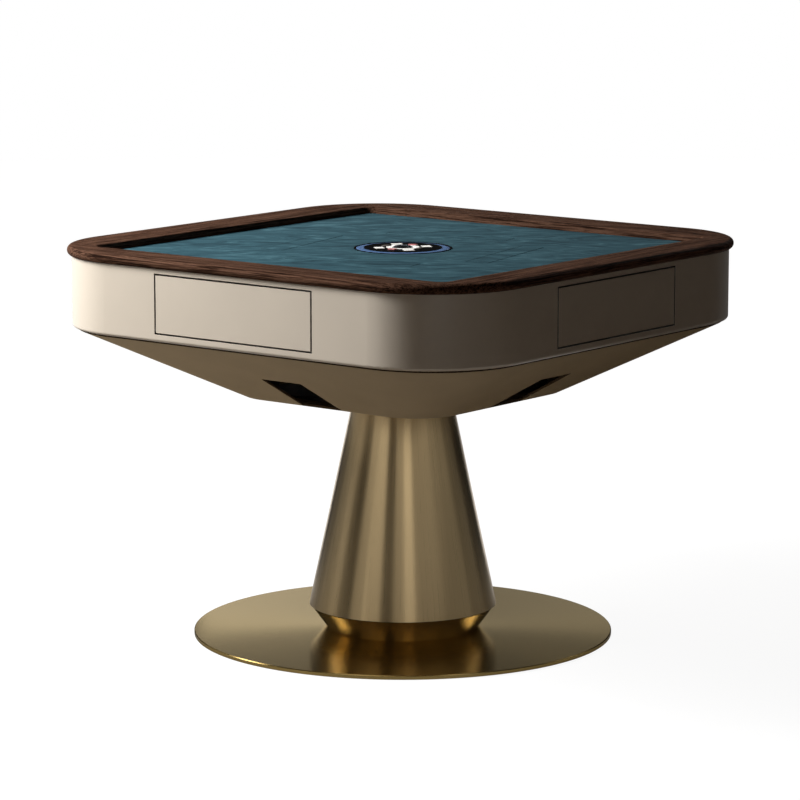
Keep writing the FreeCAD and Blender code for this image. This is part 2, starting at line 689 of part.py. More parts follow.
def pedestal_cone():
    """Brushed cone between the neck and the shroud, with a shelf that rests on the neck."""
    shelf = CONE_FOOT_HEIGHT + CONE_SHELF_RISE
    shelf_inner = NECK_TOP_RADIUS - NECK_UPSTAND_INSET - NECK_UPSTAND_THICKNESS - CONE_SHELF_REACH
    taper = (CONE_FOOT_RADIUS - CONE_TOP_RADIUS) / (SHROUD_BOTTOM - CONE_FOOT_HEIGHT)
    wall = SHEET_THICKNESS
    shelf_radius = CONE_FOOT_RADIUS - taper * CONE_SHELF_RISE - wall
    shelf_top_radius = shelf_radius - taper * wall
    return spun([
        (CONE_FOOT_RADIUS, CONE_FOOT_HEIGHT),
        (CONE_TOP_RADIUS, SHROUD_BOTTOM),
        (CONE_TOP_RADIUS - wall, SHROUD_BOTTOM),
        (shelf_top_radius, shelf + wall),
        (shelf_inner, shelf + wall),
        (shelf_inner, shelf),
        (shelf_radius, shelf),
        (CONE_FOOT_RADIUS - wall, CONE_FOOT_HEIGHT),
    ])


def pedestal_column():
    """Steel tube with a flange at each end, bolted to the base weight and the chassis."""
    tube = cylinder(COLUMN_RADIUS, WEIGHT_TOP, SHROUD_BOTTOM)
    foot = cylinder(COLUMN_FOOT_RADIUS, WEIGHT_TOP, COLUMN_FOOT_TOP)
    head = cylinder(COLUMN_HEAD_RADIUS, COLUMN_HEAD_BOTTOM, SHROUD_BOTTOM)
    column = tube.fuse([foot, head])
    column = column.cut(cylinder(COLUMN_RADIUS - COLUMN_WALL, WEIGHT_TOP, SHROUD_BOTTOM))
    column = column.cut(foot_bolt_holes(WEIGHT_TOP, COLUMN_FOOT_TOP))
    return column.cut(head_bolt_holes(COLUMN_HEAD_BOTTOM, SHROUD_BOTTOM))


def hex_head(z_low, x):
    """Hexagon bolt head."""
    corners = []
    for step in range(HEX_SIDES + 1):
        angle = math.radians(FULL_TURN * step / HEX_SIDES)
        across = BOLT_HEAD_RADIUS * math.cos(angle)
        along = BOLT_HEAD_RADIUS * math.sin(angle)
        corners.append(Vector(x + across, along, z_low))
    return Part.Face(Part.makePolygon(corners)).extrude(Vector(0, 0, BOLT_HEAD_HEIGHT))


def pedestal_bolts():
    """Bolts at the column's foot and head."""
    foot_head = hex_head(COLUMN_FOOT_TOP, FOOT_BOLT_CIRCLE)
    foot_shank = cylinder(BOLT_RADIUS, WEIGHT_TOP - BOLT_BITE, COLUMN_FOOT_TOP, FOOT_BOLT_CIRCLE)
    head_head = hex_head(COLUMN_HEAD_BOTTOM - BOLT_HEAD_HEIGHT, HEAD_BOLT_CIRCLE)
    head_shank = cylinder(BOLT_RADIUS, COLUMN_HEAD_BOTTOM, CHASSIS_TOP, HEAD_BOLT_CIRCLE)
    foot_bolts = round_of(foot_head.fuse(foot_shank), BOLT_COUNT)
    head_bolts = round_of(head_head.fuse(head_shank), BOLT_COUNT)
    return group(foot_bolts + head_bolts)


def chassis_base_plate():
    """Plate on the shroud's floor, bolted to the column's head."""
    half = CHASSIS_PLATE_SIDE / 2
    plate = slab(half, half, LOWER_POST_INSET, SHROUD_FLOOR_TOP, CHASSIS_TOP)
    plate = plate.cut(cylinder(CHASSIS_PLATE_BORE, SHROUD_FLOOR_TOP, CHASSIS_TOP))
    return plate.cut(head_bolt_holes(SHROUD_FLOOR_TOP, CHASSIS_TOP))


def square_post(distance, z_low, z_high):
    """Square tube at the same distance along X and Y."""
    half = POST_SIDE / 2
    bore = half - POST_WALL
    outside = (distance - half, distance + half)
    inside = (distance - bore, distance + bore)
    return box(outside, outside, (z_low, z_high)).cut(box(inside, inside, (z_low, z_high)))


def chassis_posts():
    """Posts from the base plate to the deck, and from the deck to the tabletop board."""
    low = square_post(CHASSIS_PLATE_SIDE / 2 - LOWER_POST_INSET, CHASSIS_TOP, DECK_BOTTOM)
    high = square_post(TRAY_BACK - UPPER_POST_CLEARANCE - POST_SIDE / 2, DECK_TOP, BOARD_BOTTOM)
    return group(round_of(low, len(SIDES)) + round_of(high, len(SIDES)))


def machine_deck():
    """Steel deck that carries the shuffling machine."""
    half = DECK_SIDE / 2
    deck = slab(half, half, DECK_CORNER_RADIUS, DECK_BOTTOM, DECK_TOP)
    stem_hole = cylinder(STEM_RADIUS + DECK_BORE_SPACE, DECK_BOTTOM, DECK_TOP)
    shaft_radius = WHEEL_SHAFT_RADIUS + WHEEL_SHAFT_SPACE
    shaft_hole = turned(cylinder(shaft_radius, DECK_BOTTOM, DECK_TOP, WHEEL_X, WHEEL_Y), MACHINE_TURN)
    return deck.cut([stem_hole, shaft_hole])


def lift_slot(z_low, z_high):
    """Space of the front tile slot through the tabletop."""
    return slab(LIFT_SLOT_LENGTH / 2, LIFT_SLOT_WIDTH / 2, LIFT_SLOT_ROUND, z_low, z_high, -LIFT_RADIUS)


def tabletop_holes(z_low, z_high):
    """Spaces of the four tile slots and of the console's well."""
    slots = round_of(lift_slot(z_low, z_high), len(SIDES), MACHINE_TURN)
    return slots + [cylinder(WELL_RADIUS, z_low, z_high)]


def tabletop_board():
    """Board whose thin edge lies under the rim and whose field fills it."""
    flange_half = FASCIA_INNER_HALF - BOARD_FLANGE_GAP
    flange = slab(flange_half, flange_half, flange_half - CORNER_CENTRE, BOARD_BOTTOM, RIM_BOTTOM)
    field_half = RIM_INNER_HALF - FELT_EDGE_GAP
    field = slab(field_half, field_half, RIM_INNER_RADIUS - FELT_EDGE_GAP, BOARD_BOTTOM, BOARD_TOP)
    return flange.fuse(field).cut(tabletop_holes(BOARD_BOTTOM, BOARD_TOP))


def felt_cover():
    """Felt on the playing field."""
    half = RIM_INNER_HALF - FELT_EDGE_GAP
    sheet = slab(half, half, RIM_INNER_RADIUS - FELT_EDGE_GAP, BOARD_TOP, FELT_TOP)
    return sheet.cut(tabletop_holes(BOARD_TOP, FELT_TOP))


def crank(arm, angle):
    """Crank in the plane y = 0 of its yoke, turning about Y at the origin, with its shaft towards -Y."""
    near = -ARM_FACE
    far = near - ARM_THICKNESS
    tip_x = arm * math.cos(math.radians(angle))
    tip_z = arm * math.sin(math.radians(angle))
    boss = bar_along_y(ARM_BOSS_RADIUS, far, near, 0, 0)
    tip = bar_along_y(ARM_TIP_RADIUS, far, near, tip_x, tip_z)
    link = box((0, arm), (far, near), (-ARM_TIP_RADIUS, ARM_TIP_RADIUS))
    link.rotate(ORIGIN, Vector(0, -1, 0), angle)
    roller = bar_along_y(ROLLER_RADIUS, near, YOKE_THICKNESS / 2 + ROLLER_END, tip_x, tip_z)
    shaft = bar_along_y(CRANK_SHAFT_RADIUS, far - CRANK_SHAFT_LENGTH, far, 0, 0)
    return boss.fuse([tip, link, roller, shaft]).removeSplitter()


def yoke_slot(arm, x, z):
    """Slot that the crank's roller slides along, x being the crank's axis."""
    half_height = ROLLER_RADIUS + ROLLER_PLAY
    near_x = x + arm * math.cos(math.radians(CRANK_SWING / 2)) - ROLLER_PLAY
    far_x = x + arm + ROLLER_PLAY
    depth = YOKE_THICKNESS / 2 + CUT_OVERRUN
    middle = box((near_x, far_x), (-depth, depth), (z - half_height, z + half_height))
    ends = [bar_along_y(half_height, -depth, depth, end_x, z) for end_x in (near_x, far_x)]
    return middle.fuse(ends)


def yoke_plate(arm, x, z_low, z_high):
    """Plate that holds the crank's slot, between two heights."""
    margin = ROLLER_RADIUS + ROLLER_PLAY + YOKE_WALL
    near_x = x + arm * math.cos(math.radians(CRANK_SWING / 2)) - margin
    far_x = x + arm + margin
    half = YOKE_THICKNESS / 2
    return box((near_x, far_x), (-half, half), (z_low, z_high))


def gear_motor(bracket_heights):
    """Gear motor behind a crank at the origin, with a bracket between two heights."""
    near = -MOTOR_FACE
    far = near - GEARBOX_DEPTH
    half = GEARBOX_SIDE / 2
    gearbox = box((-half, half), (far, near), (-half, half))
    can = bar_along_y(MOTOR_CAN_RADIUS, far - MOTOR_CAN_LENGTH, far, 0, 0)
    width = MOTOR_BRACKET_WIDTH / 2
    bracket = box((-width, width), (far, far + MOTOR_BRACKET_DEPTH), bracket_heights)
    shaft_end = -ARM_FACE - ARM_THICKNESS - CRANK_SHAFT_LENGTH
    bore = bar_along_y(CRANK_SHAFT_RADIUS + SHAFT_PLAY, shaft_end - MOTOR_GAP, near, 0, 0)
    return gearbox.fuse([can, bracket]).cut(bore)


def lift_pivot():
    """Place of the front lift's crank axis as x and z."""
    swing = math.radians(CRANK_SWING / 2)
    slot_height = FELT_TOP - LIFT_BAR_THICKNESS - LIFT_SLOT_DROP
    return -LIFT_CRANK_ARM / 2, slot_height - LIFT_CRANK_ARM * math.sin(swing)


def lift_platform():
    """Bar that fills the front tile slot, with two guide legs and the crank's yoke under it."""
    pivot_x = lift_pivot()[0]
    bar_bottom = FELT_TOP - LIFT_BAR_THICKNESS
    half_length = LIFT_SLOT_LENGTH / 2 - LIFT_GAP
    half_width = LIFT_SLOT_WIDTH / 2 - LIFT_GAP
    bar = slab(half_length, half_width, LIFT_SLOT_ROUND, bar_bottom, FELT_TOP)
    slot_height = bar_bottom - LIFT_SLOT_DROP
    yoke_bottom = slot_height - ROLLER_RADIUS - ROLLER_PLAY - YOKE_WALL
    yoke = yoke_plate(LIFT_CRANK_ARM, pivot_x, yoke_bottom, bar_bottom)
    half = LIFT_LEG_SIDE / 2
    legs = []
    for x in (-LIFT_LEG_SPREAD / 2, LIFT_LEG_SPREAD / 2):
        legs.append(box((x - half, x + half), (-half, half), (bar_bottom - LIFT_LEG_LENGTH, bar_bottom)))
    platform = bar.fuse([yoke] + legs).cut(yoke_slot(LIFT_CRANK_ARM, pivot_x, slot_height))
    return moved(platform, y=-LIFT_RADIUS)


def lift_crank():
    """Crank of the front lift, at its upper end of travel."""
    pivot_x, pivot_z = lift_pivot()
    return moved(crank(LIFT_CRANK_ARM, CRANK_SWING / 2), pivot_x, -LIFT_RADIUS, pivot_z)


def lift_motor():
    """Gear motor of the front lift, standing on the deck."""
    pivot_x, pivot_z = lift_pivot()
    motor = gear_motor((DECK_TOP - pivot_z, 0))
    return moved(motor, pivot_x, -LIFT_RADIUS, pivot_z)


def lift_guide():
    """Foot plate with two square towers that guide the front lift's legs."""
    half = GUIDE_TOWER_SIDE / 2
    bore = LIFT_LEG_SIDE / 2 + GUIDE_PLAY
    plate_top = DECK_TOP + GUIDE_PLATE_THICKNESS
    tower_top = FELT_TOP - LIFT_BAR_THICKNESS - LIFT_TRAVEL - GUIDE_TOP_SPACE
    reach = LIFT_LEG_SPREAD / 2 + half
    guide = box((-reach, reach), (-half, half), (DECK_TOP, plate_top))
    for x in (-LIFT_LEG_SPREAD / 2, LIFT_LEG_SPREAD / 2):
        tower = box((x - half, x + half), (-half, half), (plate_top, tower_top))
        guide = guide.fuse(tower.cut(box((x - bore, x + bore), (-bore, bore), (plate_top, tower_top))))
    return moved(guide, y=-LIFT_RADIUS)


def console_collar():
    """Collar that lines the console's well, with a thin brim on the felt."""
    return spun([
        (COLLAR_INNER_RADIUS, FELT_TOP - COLLAR_DEPTH),
        (COLLAR_OUTER_RADIUS, FELT_TOP - COLLAR_DEPTH),
        (COLLAR_OUTER_RADIUS, FELT_TOP),
        (COLLAR_OUTER_RADIUS + COLLAR_BRIM, FELT_TOP),
        (COLLAR_OUTER_RADIUS + COLLAR_BRIM, FELT_TOP + COLLAR_BRIM_THICKNESS),
        (COLLAR_INNER_RADIUS, FELT_TOP + COLLAR_BRIM_THICKNESS),
    ])


def console_ring():
    """Translucent ring round the console's face."""
    top = CONSOLE_TOP - CONSOLE_RING_SINK
    inner = CONSOLE_FACE_RADIUS + CONSOLE_RING_GAP
    return spun([
        (inner, CONSOLE_FACE_BOTTOM),
        (CONSOLE_RADIUS, CONSOLE_FACE_BOTTOM),
        (CONSOLE_RADIUS, CONSOLE_FACE_BOTTOM + CONSOLE_RING_EDGE),
        (CONSOLE_RADIUS - CONSOLE_RING_SLOPE, top),
        (inner, top),
    ])


def key_space(gap, z_low, z_high):
    """Upright prism of the front key, widened by a gap."""
    half_length = KEY_LENGTH / 2 + gap
    half_width = KEY_WIDTH / 2 + gap
    return slab(half_length, half_width, KEY_ROUND, z_low, z_high, -KEY_RADIUS)


def console_key():
    """Front key of the console, proud of its face."""
    bottom = CONSOLE_TOP - KEY_POCKET_DEPTH + KEY_TRAVEL + KEY_TRAVEL_SPARE
    return key_space(0, bottom, CONSOLE_TOP + KEY_PROUD)


def window_blocks(z_high):
    """Seat windows on the diagonals and the light segments round the dice bowl."""
    bottom = CONSOLE_TOP - WINDOW_DEPTH
    half = WINDOW_WIDTH / 2
    lengths = (WINDOW_INNER_RADIUS, WINDOW_INNER_RADIUS + WINDOW_LENGTH)
    window = box(lengths, (-half, half), (bottom, z_high))
    foot = Vector(0, 0, bottom)
    light = Part.makeCylinder(LIGHT_INNER_RADIUS + LIGHT_WIDTH, z_high - bottom, foot, UP, LIGHT_SWEEP)
    light = turned(light.cut(cylinder(LIGHT_INNER_RADIUS, bottom, z_high)), -LIGHT_SWEEP / 2)
    start = CONSOLE_TURN + QUARTER_TURN / 2
    return round_of(window, len(SIDES), start) + round_of(light, len(SIDES), start)


def console_body():
    """Face of the console with pockets for its keys, windows and dice, and a flange under the ring."""
    face = cylinder(CONSOLE_FACE_RADIUS, CONSOLE_FACE_BOTTOM, CONSOLE_TOP)
    flange = cylinder(CONSOLE_RADIUS - CONSOLE_FLANGE_INSET, CONSOLE_FLANGE_BOTTOM, CONSOLE_FACE_BOTTOM)
    boss = cylinder(CONSOLE_BOSS_RADIUS, CONSOLE_BOTTOM, CONSOLE_FLANGE_BOTTOM)
    pocket = key_space(RUNNING_GAP, CONSOLE_TOP - KEY_POCKET_DEPTH, CONSOLE_TOP)
    body = face.fuse([flange, boss])
    body = body.cut(round_of(pocket, len(SIDES), CONSOLE_TURN))
    body = body.cut(window_blocks(CONSOLE_TOP + CUT_OVERRUN))
    return body.cut(cylinder(BOWL_RADIUS, CONSOLE_TOP - BOWL_DEPTH, CONSOLE_TOP))


def console_windows():
    """White windows and lights let into the console's face."""
    return group(window_blocks(CONSOLE_TOP + WINDOW_PROUD))


def dice_dome():
    """Clear low dome over the dice bowl."""
    ball = (DOME_RADIUS ** 2 + DOME_HEIGHT ** 2) / (2 * DOME_HEIGHT)
    centre = Vector(0, 0, CONSOLE_TOP + DOME_HEIGHT - ball)
    shell = Part.makeSphere(ball, centre).cut(Part.makeSphere(ball - DOME_WALL, centre))
    return shell.common(cylinder(DOME_RADIUS, CONSOLE_TOP, CONSOLE_TOP + DOME_HEIGHT))


def dice():
    """Two dice on the floor of the bowl."""
    half = DIE_SIDE / 2
    floor = CONSOLE_TOP - BOWL_DEPTH
    die = box((-half, half), (-half, half), (floor, floor + DIE_SIDE))
    die = die.makeChamfer(DIE_ROUND, die.Edges)
    return group(round_of(moved(die, x=DIE_SPREAD / 2), DIE_COUNT, CONSOLE_TURN))


def console_stem():
    """Stem under the console, with the crank's yoke at its lower end."""
    stem = cylinder(STEM_RADIUS, STEM_BOTTOM, CONSOLE_BOTTOM)
    yoke_bottom = STEM_SLOT_HEIGHT - ROLLER_RADIUS - ROLLER_PLAY - YOKE_WALL
    yoke = yoke_plate(CONSOLE_CRANK_ARM, -STEM_CRANK_OFFSET, yoke_bottom, STEM_BOTTOM)
    stem = stem.fuse(yoke).cut(yoke_slot(CONSOLE_CRANK_ARM, -STEM_CRANK_OFFSET, STEM_SLOT_HEIGHT))
    return turned(stem, MACHINE_TURN)


def console_pivot_height():
    """Height of the console crank's axis."""
    return STEM_SLOT_HEIGHT + CONSOLE_CRANK_ARM * math.sin(math.radians(CRANK_SWING / 2))


def console_crank():
    """Crank that raises the console, at its lower end of travel."""
    shape = moved(crank(CONSOLE_CRANK_ARM, -CRANK_SWING / 2), -STEM_CRANK_OFFSET, 0, console_pivot_height())
    return turned(shape, MACHINE_TURN)


def console_motor():
    """Gear motor of the console's crank, hung from the deck."""
    height = console_pivot_height()
    motor = gear_motor((0, DECK_BOTTOM - height))
    return turned(moved(motor, -STEM_CRANK_OFFSET, 0, height), MACHINE_TURN)


def console_guide():
    """Tube on the deck that guides the console's stem."""
    bore = STEM_RADIUS + SHAFT_PLAY
    flange = cylinder(GUIDE_TUBE_FLANGE_RADIUS, DECK_TOP, DECK_TOP + GUIDE_TUBE_FLANGE_THICKNESS)
    top = CONSOLE_BOTTOM - GUIDE_TUBE_TOP_SPACE
    tube = cylinder(STEM_RADIUS + GUIDE_TUBE_WALL, DECK_TOP, top)
    return flange.fuse(tube).cut(cylinder(bore, DECK_TOP, top))


def shuffle_drum():
    """Drum that stirs the tiles: floor, outer wall, hub wall and stirring ribs."""
    floor = DRUM_BOTTOM + DRUM_WALL
    top = DRUM_BOTTOM + DRUM_HEIGHT
    hub_outer = DRUM_HUB_RADIUS + DRUM_WALL
    wall_inner = DRUM_RADIUS - DRUM_WALL
    bowl = spun([
        (DRUM_HUB_RADIUS, DRUM_BOTTOM),
        (DRUM_RADIUS, DRUM_BOTTOM),
        (DRUM_RADIUS, top),
        (wall_inner, top),
        (wall_inner, floor),
        (hub_outer, floor),
        (hub_outer, top),
        (DRUM_HUB_RADIUS, top),
    ])
    half = DRUM_RIB_WIDTH / 2
    lengths = (hub_outer + DRUM_RIB_END_SPACE, wall_inner - DRUM_RIB_END_SPACE)
    rib = box(lengths, (-half, half), (floor, floor + DRUM_RIB_HEIGHT))
    return bowl.fuse(round_of(rib, DRUM_RIB_COUNT))


def drum_bearing():
    """Slide ring on the deck that the drum runs on."""
    return ring(BEARING_RADIUS, BEARING_RADIUS - BEARING_WIDTH, DECK_TOP, DECK_TOP + BEARING_HEIGHT)


def drive_wheel():
    """Friction wheel beside the drum, with its shaft down through the deck."""
    low = DRUM_BOTTOM + WHEEL_RISE
    wheel = cylinder(WHEEL_RADIUS, low, low + WHEEL_HEIGHT, WHEEL_X, WHEEL_Y)
    shaft = cylinder(WHEEL_SHAFT_RADIUS, DECK_BOTTOM - WHEEL_SHAFT_BITE, low, WHEEL_X, WHEEL_Y)
    return turned(wheel.fuse(shaft), MACHINE_TURN)


def drum_motor():
    """Motor of the drive wheel, hung under the deck."""
    low = DECK_BOTTOM - DRUM_MOTOR_HEIGHT
    motor = cylinder(DRUM_MOTOR_RADIUS, low, DECK_BOTTOM, WHEEL_X, WHEEL_Y)
    bore_low = DECK_BOTTOM - WHEEL_SHAFT_BITE - MOTOR_GAP
    bore = cylinder(WHEEL_SHAFT_RADIUS + SHAFT_PLAY, bore_low, DECK_BOTTOM, WHEEL_X, WHEEL_Y)
    return turned(motor.cut(bore), MACHINE_TURN)


def gear_motors():
    """All motors of the machine."""
    lift_motors = round_of(lift_motor(), len(SIDES), MACHINE_TURN)
    return group(lift_motors + [console_motor(), drum_motor()])


def control_box():
    """Control electronics hung under the deck."""
    half_width = CONTROL_BOX_WIDTH / 2
    middle = DECK_SIDE / 2 - CONTROL_BOX_INSET - half_width
    low = DECK_BOTTOM - CONTROL_BOX_HEIGHT
    case = slab(CONTROL_BOX_LENGTH / 2, half_width, CONTROL_BOX_ROUND, low, DECK_BOTTOM, -middle)
    return turned(case, -QUARTER_TURN)


def inlet_body(gap):
    """Body of the mains inlet that passes through the shroud's floor, widened by a gap."""
    half_length = INLET_LENGTH / 2 + gap
    half_width = INLET_WIDTH / 2 + gap
    middle = SHROUD_BASE_HALF - INLET_EDGE_SPACE
    widths = (middle - half_width, middle + half_width)
    return box((-half_length, half_length), widths, (SHROUD_BOTTOM, SHROUD_BOTTOM + INLET_HEIGHT))


def power_inlet():
    """Mains inlet in the shroud's floor, facing down."""
    middle = SHROUD_BASE_HALF - INLET_EDGE_SPACE
    low = SHROUD_BOTTOM - INLET_FLANGE_THICKNESS
    half_length = INLET_FLANGE_LENGTH / 2
    half_width = INLET_FLANGE_WIDTH / 2
    widths = (middle - half_width, middle + half_width)
    flange = box((-half_length, half_length), widths, (low, SHROUD_BOTTOM))
    socket_length = INLET_SOCKET_LENGTH / 2
    socket_width = INLET_SOCKET_WIDTH / 2
    socket_widths = (middle - socket_width, middle + socket_width)
    socket = box((-socket_length, socket_length), socket_widths, (low, low + INLET_SOCKET_DEPTH))
    return flange.fuse(inlet_body(0)).cut(socket)


def single_nodes():
    """Nodes that stand once on the table."""
    return {
        "base_pads": base_pads(),
        "base_weight": base_weight(),
        "base_disc": base_disc(),
        "base_neck": base_neck(),
        "pedestal_cone": pedestal_cone(),
        "pedestal_column": pedestal_column(),
        "pedestal_bolts": pedestal_bolts(),
        "chassis_base_plate": chassis_base_plate(),
        "chassis_posts": chassis_posts(),
        "machine_deck": machine_deck(),
        "shroud": shroud(),
        "fascia_corners": group(round_of(fascia_corner(), len(SIDES))),
        "tabletop_board": tabletop_board(),
        "felt_cover": felt_cover(),
        "drawer_rails": drawer_rails(),
        "drawer_latches": group(round_of(drawer_latch(), len(SIDES))),
        "lift_guides": group(round_of(lift_guide(), len(SIDES), MACHINE_TURN)),
        "console_collar": console_collar(),
        "console_ring": console_ring(),
        "console_body": console_body(),
        "console_windows": console_windows(),
        "dice_dome": dice_dome(),
        "dice": dice(),
        "console_stem": console_stem(),
        "console_guide": console_guide(),
        "console_crank": console_crank(),
        "shuffle_drum": shuffle_drum(),
        "drum_bearing": drum_bearing(),
        "drive_wheel": drive_wheel(),
        "gear_motors": gear_motors(),
        "control_box": control_box(),
        "power_inlet": power_inlet(),
    }


def side_nodes():
    """Nodes that repeat on each side of the table."""
    nodes = {}
    for step, side in enumerate(SIDES):
        angle = QUARTER_TURN * step
        nodes[f"rim_{side}"] = turned(rim_rail(), angle)
        nodes[f"fascia_{side}"] = turned(fascia_panel(), angle)
        nodes[f"drawer_{side}_panel"] = turned(drawer_panel(), angle)
        nodes[f"drawer_{side}_tray"] = turned(drawer_tray(), angle)
        nodes[f"lift_{side}_platform"] = turned(lift_platform(), angle + MACHINE_TURN)
        nodes[f"lift_{side}_crank"] = turned(lift_crank(), angle + MACHINE_TURN)
        nodes[f"key_{side}"] = turned(console_key(), angle + CONSOLE_TURN)
    return nodes


def main():
    """Write one STEP file per node."""
    os.makedirs("parts", exist_ok=True)
    for name, shape in {**single_nodes(), **side_nodes()}.items():
        shape.exportStep(f"parts/{name}.step")


main()
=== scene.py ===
import json
import math

import bmesh
import bpy
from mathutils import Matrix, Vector


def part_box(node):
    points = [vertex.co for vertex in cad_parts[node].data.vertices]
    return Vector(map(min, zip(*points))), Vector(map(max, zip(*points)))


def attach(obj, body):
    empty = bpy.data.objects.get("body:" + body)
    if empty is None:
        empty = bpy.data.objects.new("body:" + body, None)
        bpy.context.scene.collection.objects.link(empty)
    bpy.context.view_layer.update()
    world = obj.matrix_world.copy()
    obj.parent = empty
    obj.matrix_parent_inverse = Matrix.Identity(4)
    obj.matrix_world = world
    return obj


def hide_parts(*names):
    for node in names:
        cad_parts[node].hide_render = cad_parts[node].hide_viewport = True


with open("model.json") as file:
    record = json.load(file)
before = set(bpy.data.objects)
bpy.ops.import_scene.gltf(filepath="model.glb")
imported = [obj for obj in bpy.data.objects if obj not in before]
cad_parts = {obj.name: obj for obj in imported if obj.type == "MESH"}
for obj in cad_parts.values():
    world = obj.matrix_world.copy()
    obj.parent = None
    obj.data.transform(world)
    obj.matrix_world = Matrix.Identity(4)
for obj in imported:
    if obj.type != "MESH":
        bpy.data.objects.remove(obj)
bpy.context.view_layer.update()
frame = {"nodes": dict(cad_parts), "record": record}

# Looks of a mahjong table with drawers: lacquered body, walnut rim, stretched felt and a brass pedestal.
# Lengths are metres, angles are degrees, and colours are linear unless they pass through srgb().

SIDES = ("front", "right", "back", "left")
QUARTER_TURN = 90.0
WHITE = (1.0, 1.0, 1.0, 1.0)
BLACK = (0.0, 0.0, 0.0, 1.0)

# Camera fitted to the photograph
CAMERA_AZIMUTH = 38.184
CAMERA_REACH = 6.8174
CAMERA_HEIGHT = 1.5881
CAMERA_YAW = 0.044
CAMERA_PITCH = 9.517
CAMERA_LENS = 164.74
SENSOR_WIDTH = 36.0

# Felt sheet and the spaces cut into it
FELT_CORNER_RADIUS = 0.0195
FELT_ROLL = 0.0013
FELT_ROLL_STEPS = 4
SLOT_RADIUS = 0.211
SLOT_LENGTH = 0.255
SLOT_WIDTH = 0.046
SLOT_ROUND = 0.003
WELL_RADIUS = 0.0912
MACHINE_TURN = 12.5
CORNER_STEPS = 10
CIRCLE_STEPS = 96

# Felt on top of the tile lifts
LIFT_FELT_DEPTH = 0.0002

# Gap round each drawer front, painted dark as shade in the gap, and how far the painted shade runs onto
# the faces beside it
DRAWER_GAP = 0.0022
GAP_SHADE = 0.0004

# Cut edges of the shroud's vents and its lip under the side panels, painted dark as shade
VENT_HALF_WIDTH = 0.0465
VENT_START = 0.2377
VENT_END = 0.3574
SHROUD_LIP_SHADOW_DEPTH = 0.0036

# Light ring in the console's face
LIGHT_RING_INNER = 0.0205
LIGHT_RING_OUTER = 0.0295
LIGHT_RING_DEPTH = 0.0005

# Depth of the relief of each kind of surface
BRUSHED_RELIEF = 0.00001
POLISHED_RELIEF = 0.00002
SATIN_RELIEF = 0.00003
PAINTED_RELIEF = 0.00004
MOULDED_RELIEF = 0.00006
ROLLED_RELIEF = 0.00008
ROUGH_RELIEF = 0.0001
WOOD_RELIEF = 0.0002
FELT_RELIEF = 0.0003

# Floor and backdrop
FLOOR_RADIUS = 9.0
FLOOR_STEPS = 96
FLOOR_DROP = 0.0004
FLOOR_BOUNCE = (0.32, 0.28, 0.235, 1.0)
FLOOR_SHADE = (0.16, 0.16, 0.16, 1.0)
FLOOR_ROUGHNESS = 0.9
FLOOR_NEAR_GLOW = 0.92
FLOOR_FAR_GLOW = 1.0
FLOOR_GLOW_START = 0.9
FLOOR_GLOW_END = 2.4
# Glow of the floor in glossy rays, lower near the table as a painted shadow of the table
FLOOR_MIRRORED_START = 0.45
FLOOR_MIRRORED_END = 1.6
FLOOR_MIRRORED_SHADOW_GLOW = 0.12
BACKDROP_STRENGTH = 1.0
AMBIENT_COLOUR = (1.0, 0.73, 0.55, 1.0)
AMBIENT_STRENGTH = 0.03

# Lamps
AIM_HEIGHT = 0.62
KEY_AZIMUTH = -48.0
KEY_REACH = 2.0
KEY_HEIGHT = 1.9
KEY_WIDTH = 0.5
KEY_TALL = 1.0
KEY_POWER = 86.0
BACK_AZIMUTH = -150.0
BACK_REACH = 1.8
BACK_HEIGHT = 1.2
BACK_SIZE = 1.2
BACK_POWER = 14.0

# Cards that glossy surfaces reflect, in tiers round the table: reach and heights of each tier
CARD_STEP = 3.0
LEAST_CARD_STEPS = 2
NEAR_CARD_REACH = 0.9
FAR_CARD_REACH = 2.3
LAMP_CARD_REACH = 2.2
NEAR_CARD_TOP = 0.45
TOP_CARD_START = 0.77
TOP_CARD_END = 1.06
FRONT_CARD_SPLIT = 0.66
BACK_CARD_SPLIT = 0.575
FAR_CARD_TOP = 1.5
LAMP_CARD_TOP = 2.4
CEILING_TOP = 5.0
NEAR_TIER = (NEAR_CARD_REACH, 0.0, NEAR_CARD_TOP)
TOP_TIER = (NEAR_CARD_REACH, TOP_CARD_START, TOP_CARD_END)
LOW_TIER = (FAR_CARD_REACH, 0.0, FRONT_CARD_SPLIT)
HIGH_TIER = (FAR_CARD_REACH, FRONT_CARD_SPLIT, FAR_CARD_TOP)
BACK_LOW_TIER = (FAR_CARD_REACH, 0.0, BACK_CARD_SPLIT)
BACK_HIGH_TIER = (FAR_CARD_REACH, BACK_CARD_SPLIT, FAR_CARD_TOP)
CEILING_TIER = (FAR_CARD_REACH, FAR_CARD_TOP, CEILING_TOP)
LAMP_TIER = (LAMP_CARD_REACH, FAR_CARD_TOP, LAMP_CARD_TOP)

# Azimuths at which each card starts and ends, and its brightness
NEAR_CARDS = (
    (-112.0, -100.0, 0.05), (-100.0, -80.0, 0.11), (-80.0, -60.0, 0.2), (-60.0, -45.0, 0.28),
    (-45.0, -24.0, 0.06), (-24.0, -8.0, 0.4),
    (95.0, 125.0, 0.2), (125.0, 150.0, 0.09), (150.0, 185.0, 0.02))
TOP_CARDS = ((180.0, 260.0, 0.02),)
LOW_CARDS = ((-8.0, 150.0, 0.02),)
HIGH_CARDS = (
    (-120.0, -100.0, 0.1), (-100.0, -80.0, 0.16), (-80.0, -62.0, 0.3), (-62.0, -43.0, 0.42),
    (-43.0, -24.0, 0.08), (-24.0, -8.0, 0.7), (-8.0, 10.0, 1.3), (10.0, 26.0, 0.03), (26.0, 40.0, 0.8),
    (40.0, 54.0, 1.8), (54.0, 72.0, 0.62), (72.0, 90.0, 0.66), (90.0, 105.0, 0.48), (105.0, 125.0, 0.36),
    (125.0, 150.0, 0.2))
BACK_LOW_CARDS = ((150.0, 195.0, 0.12), (195.0, 215.0, 0.43))
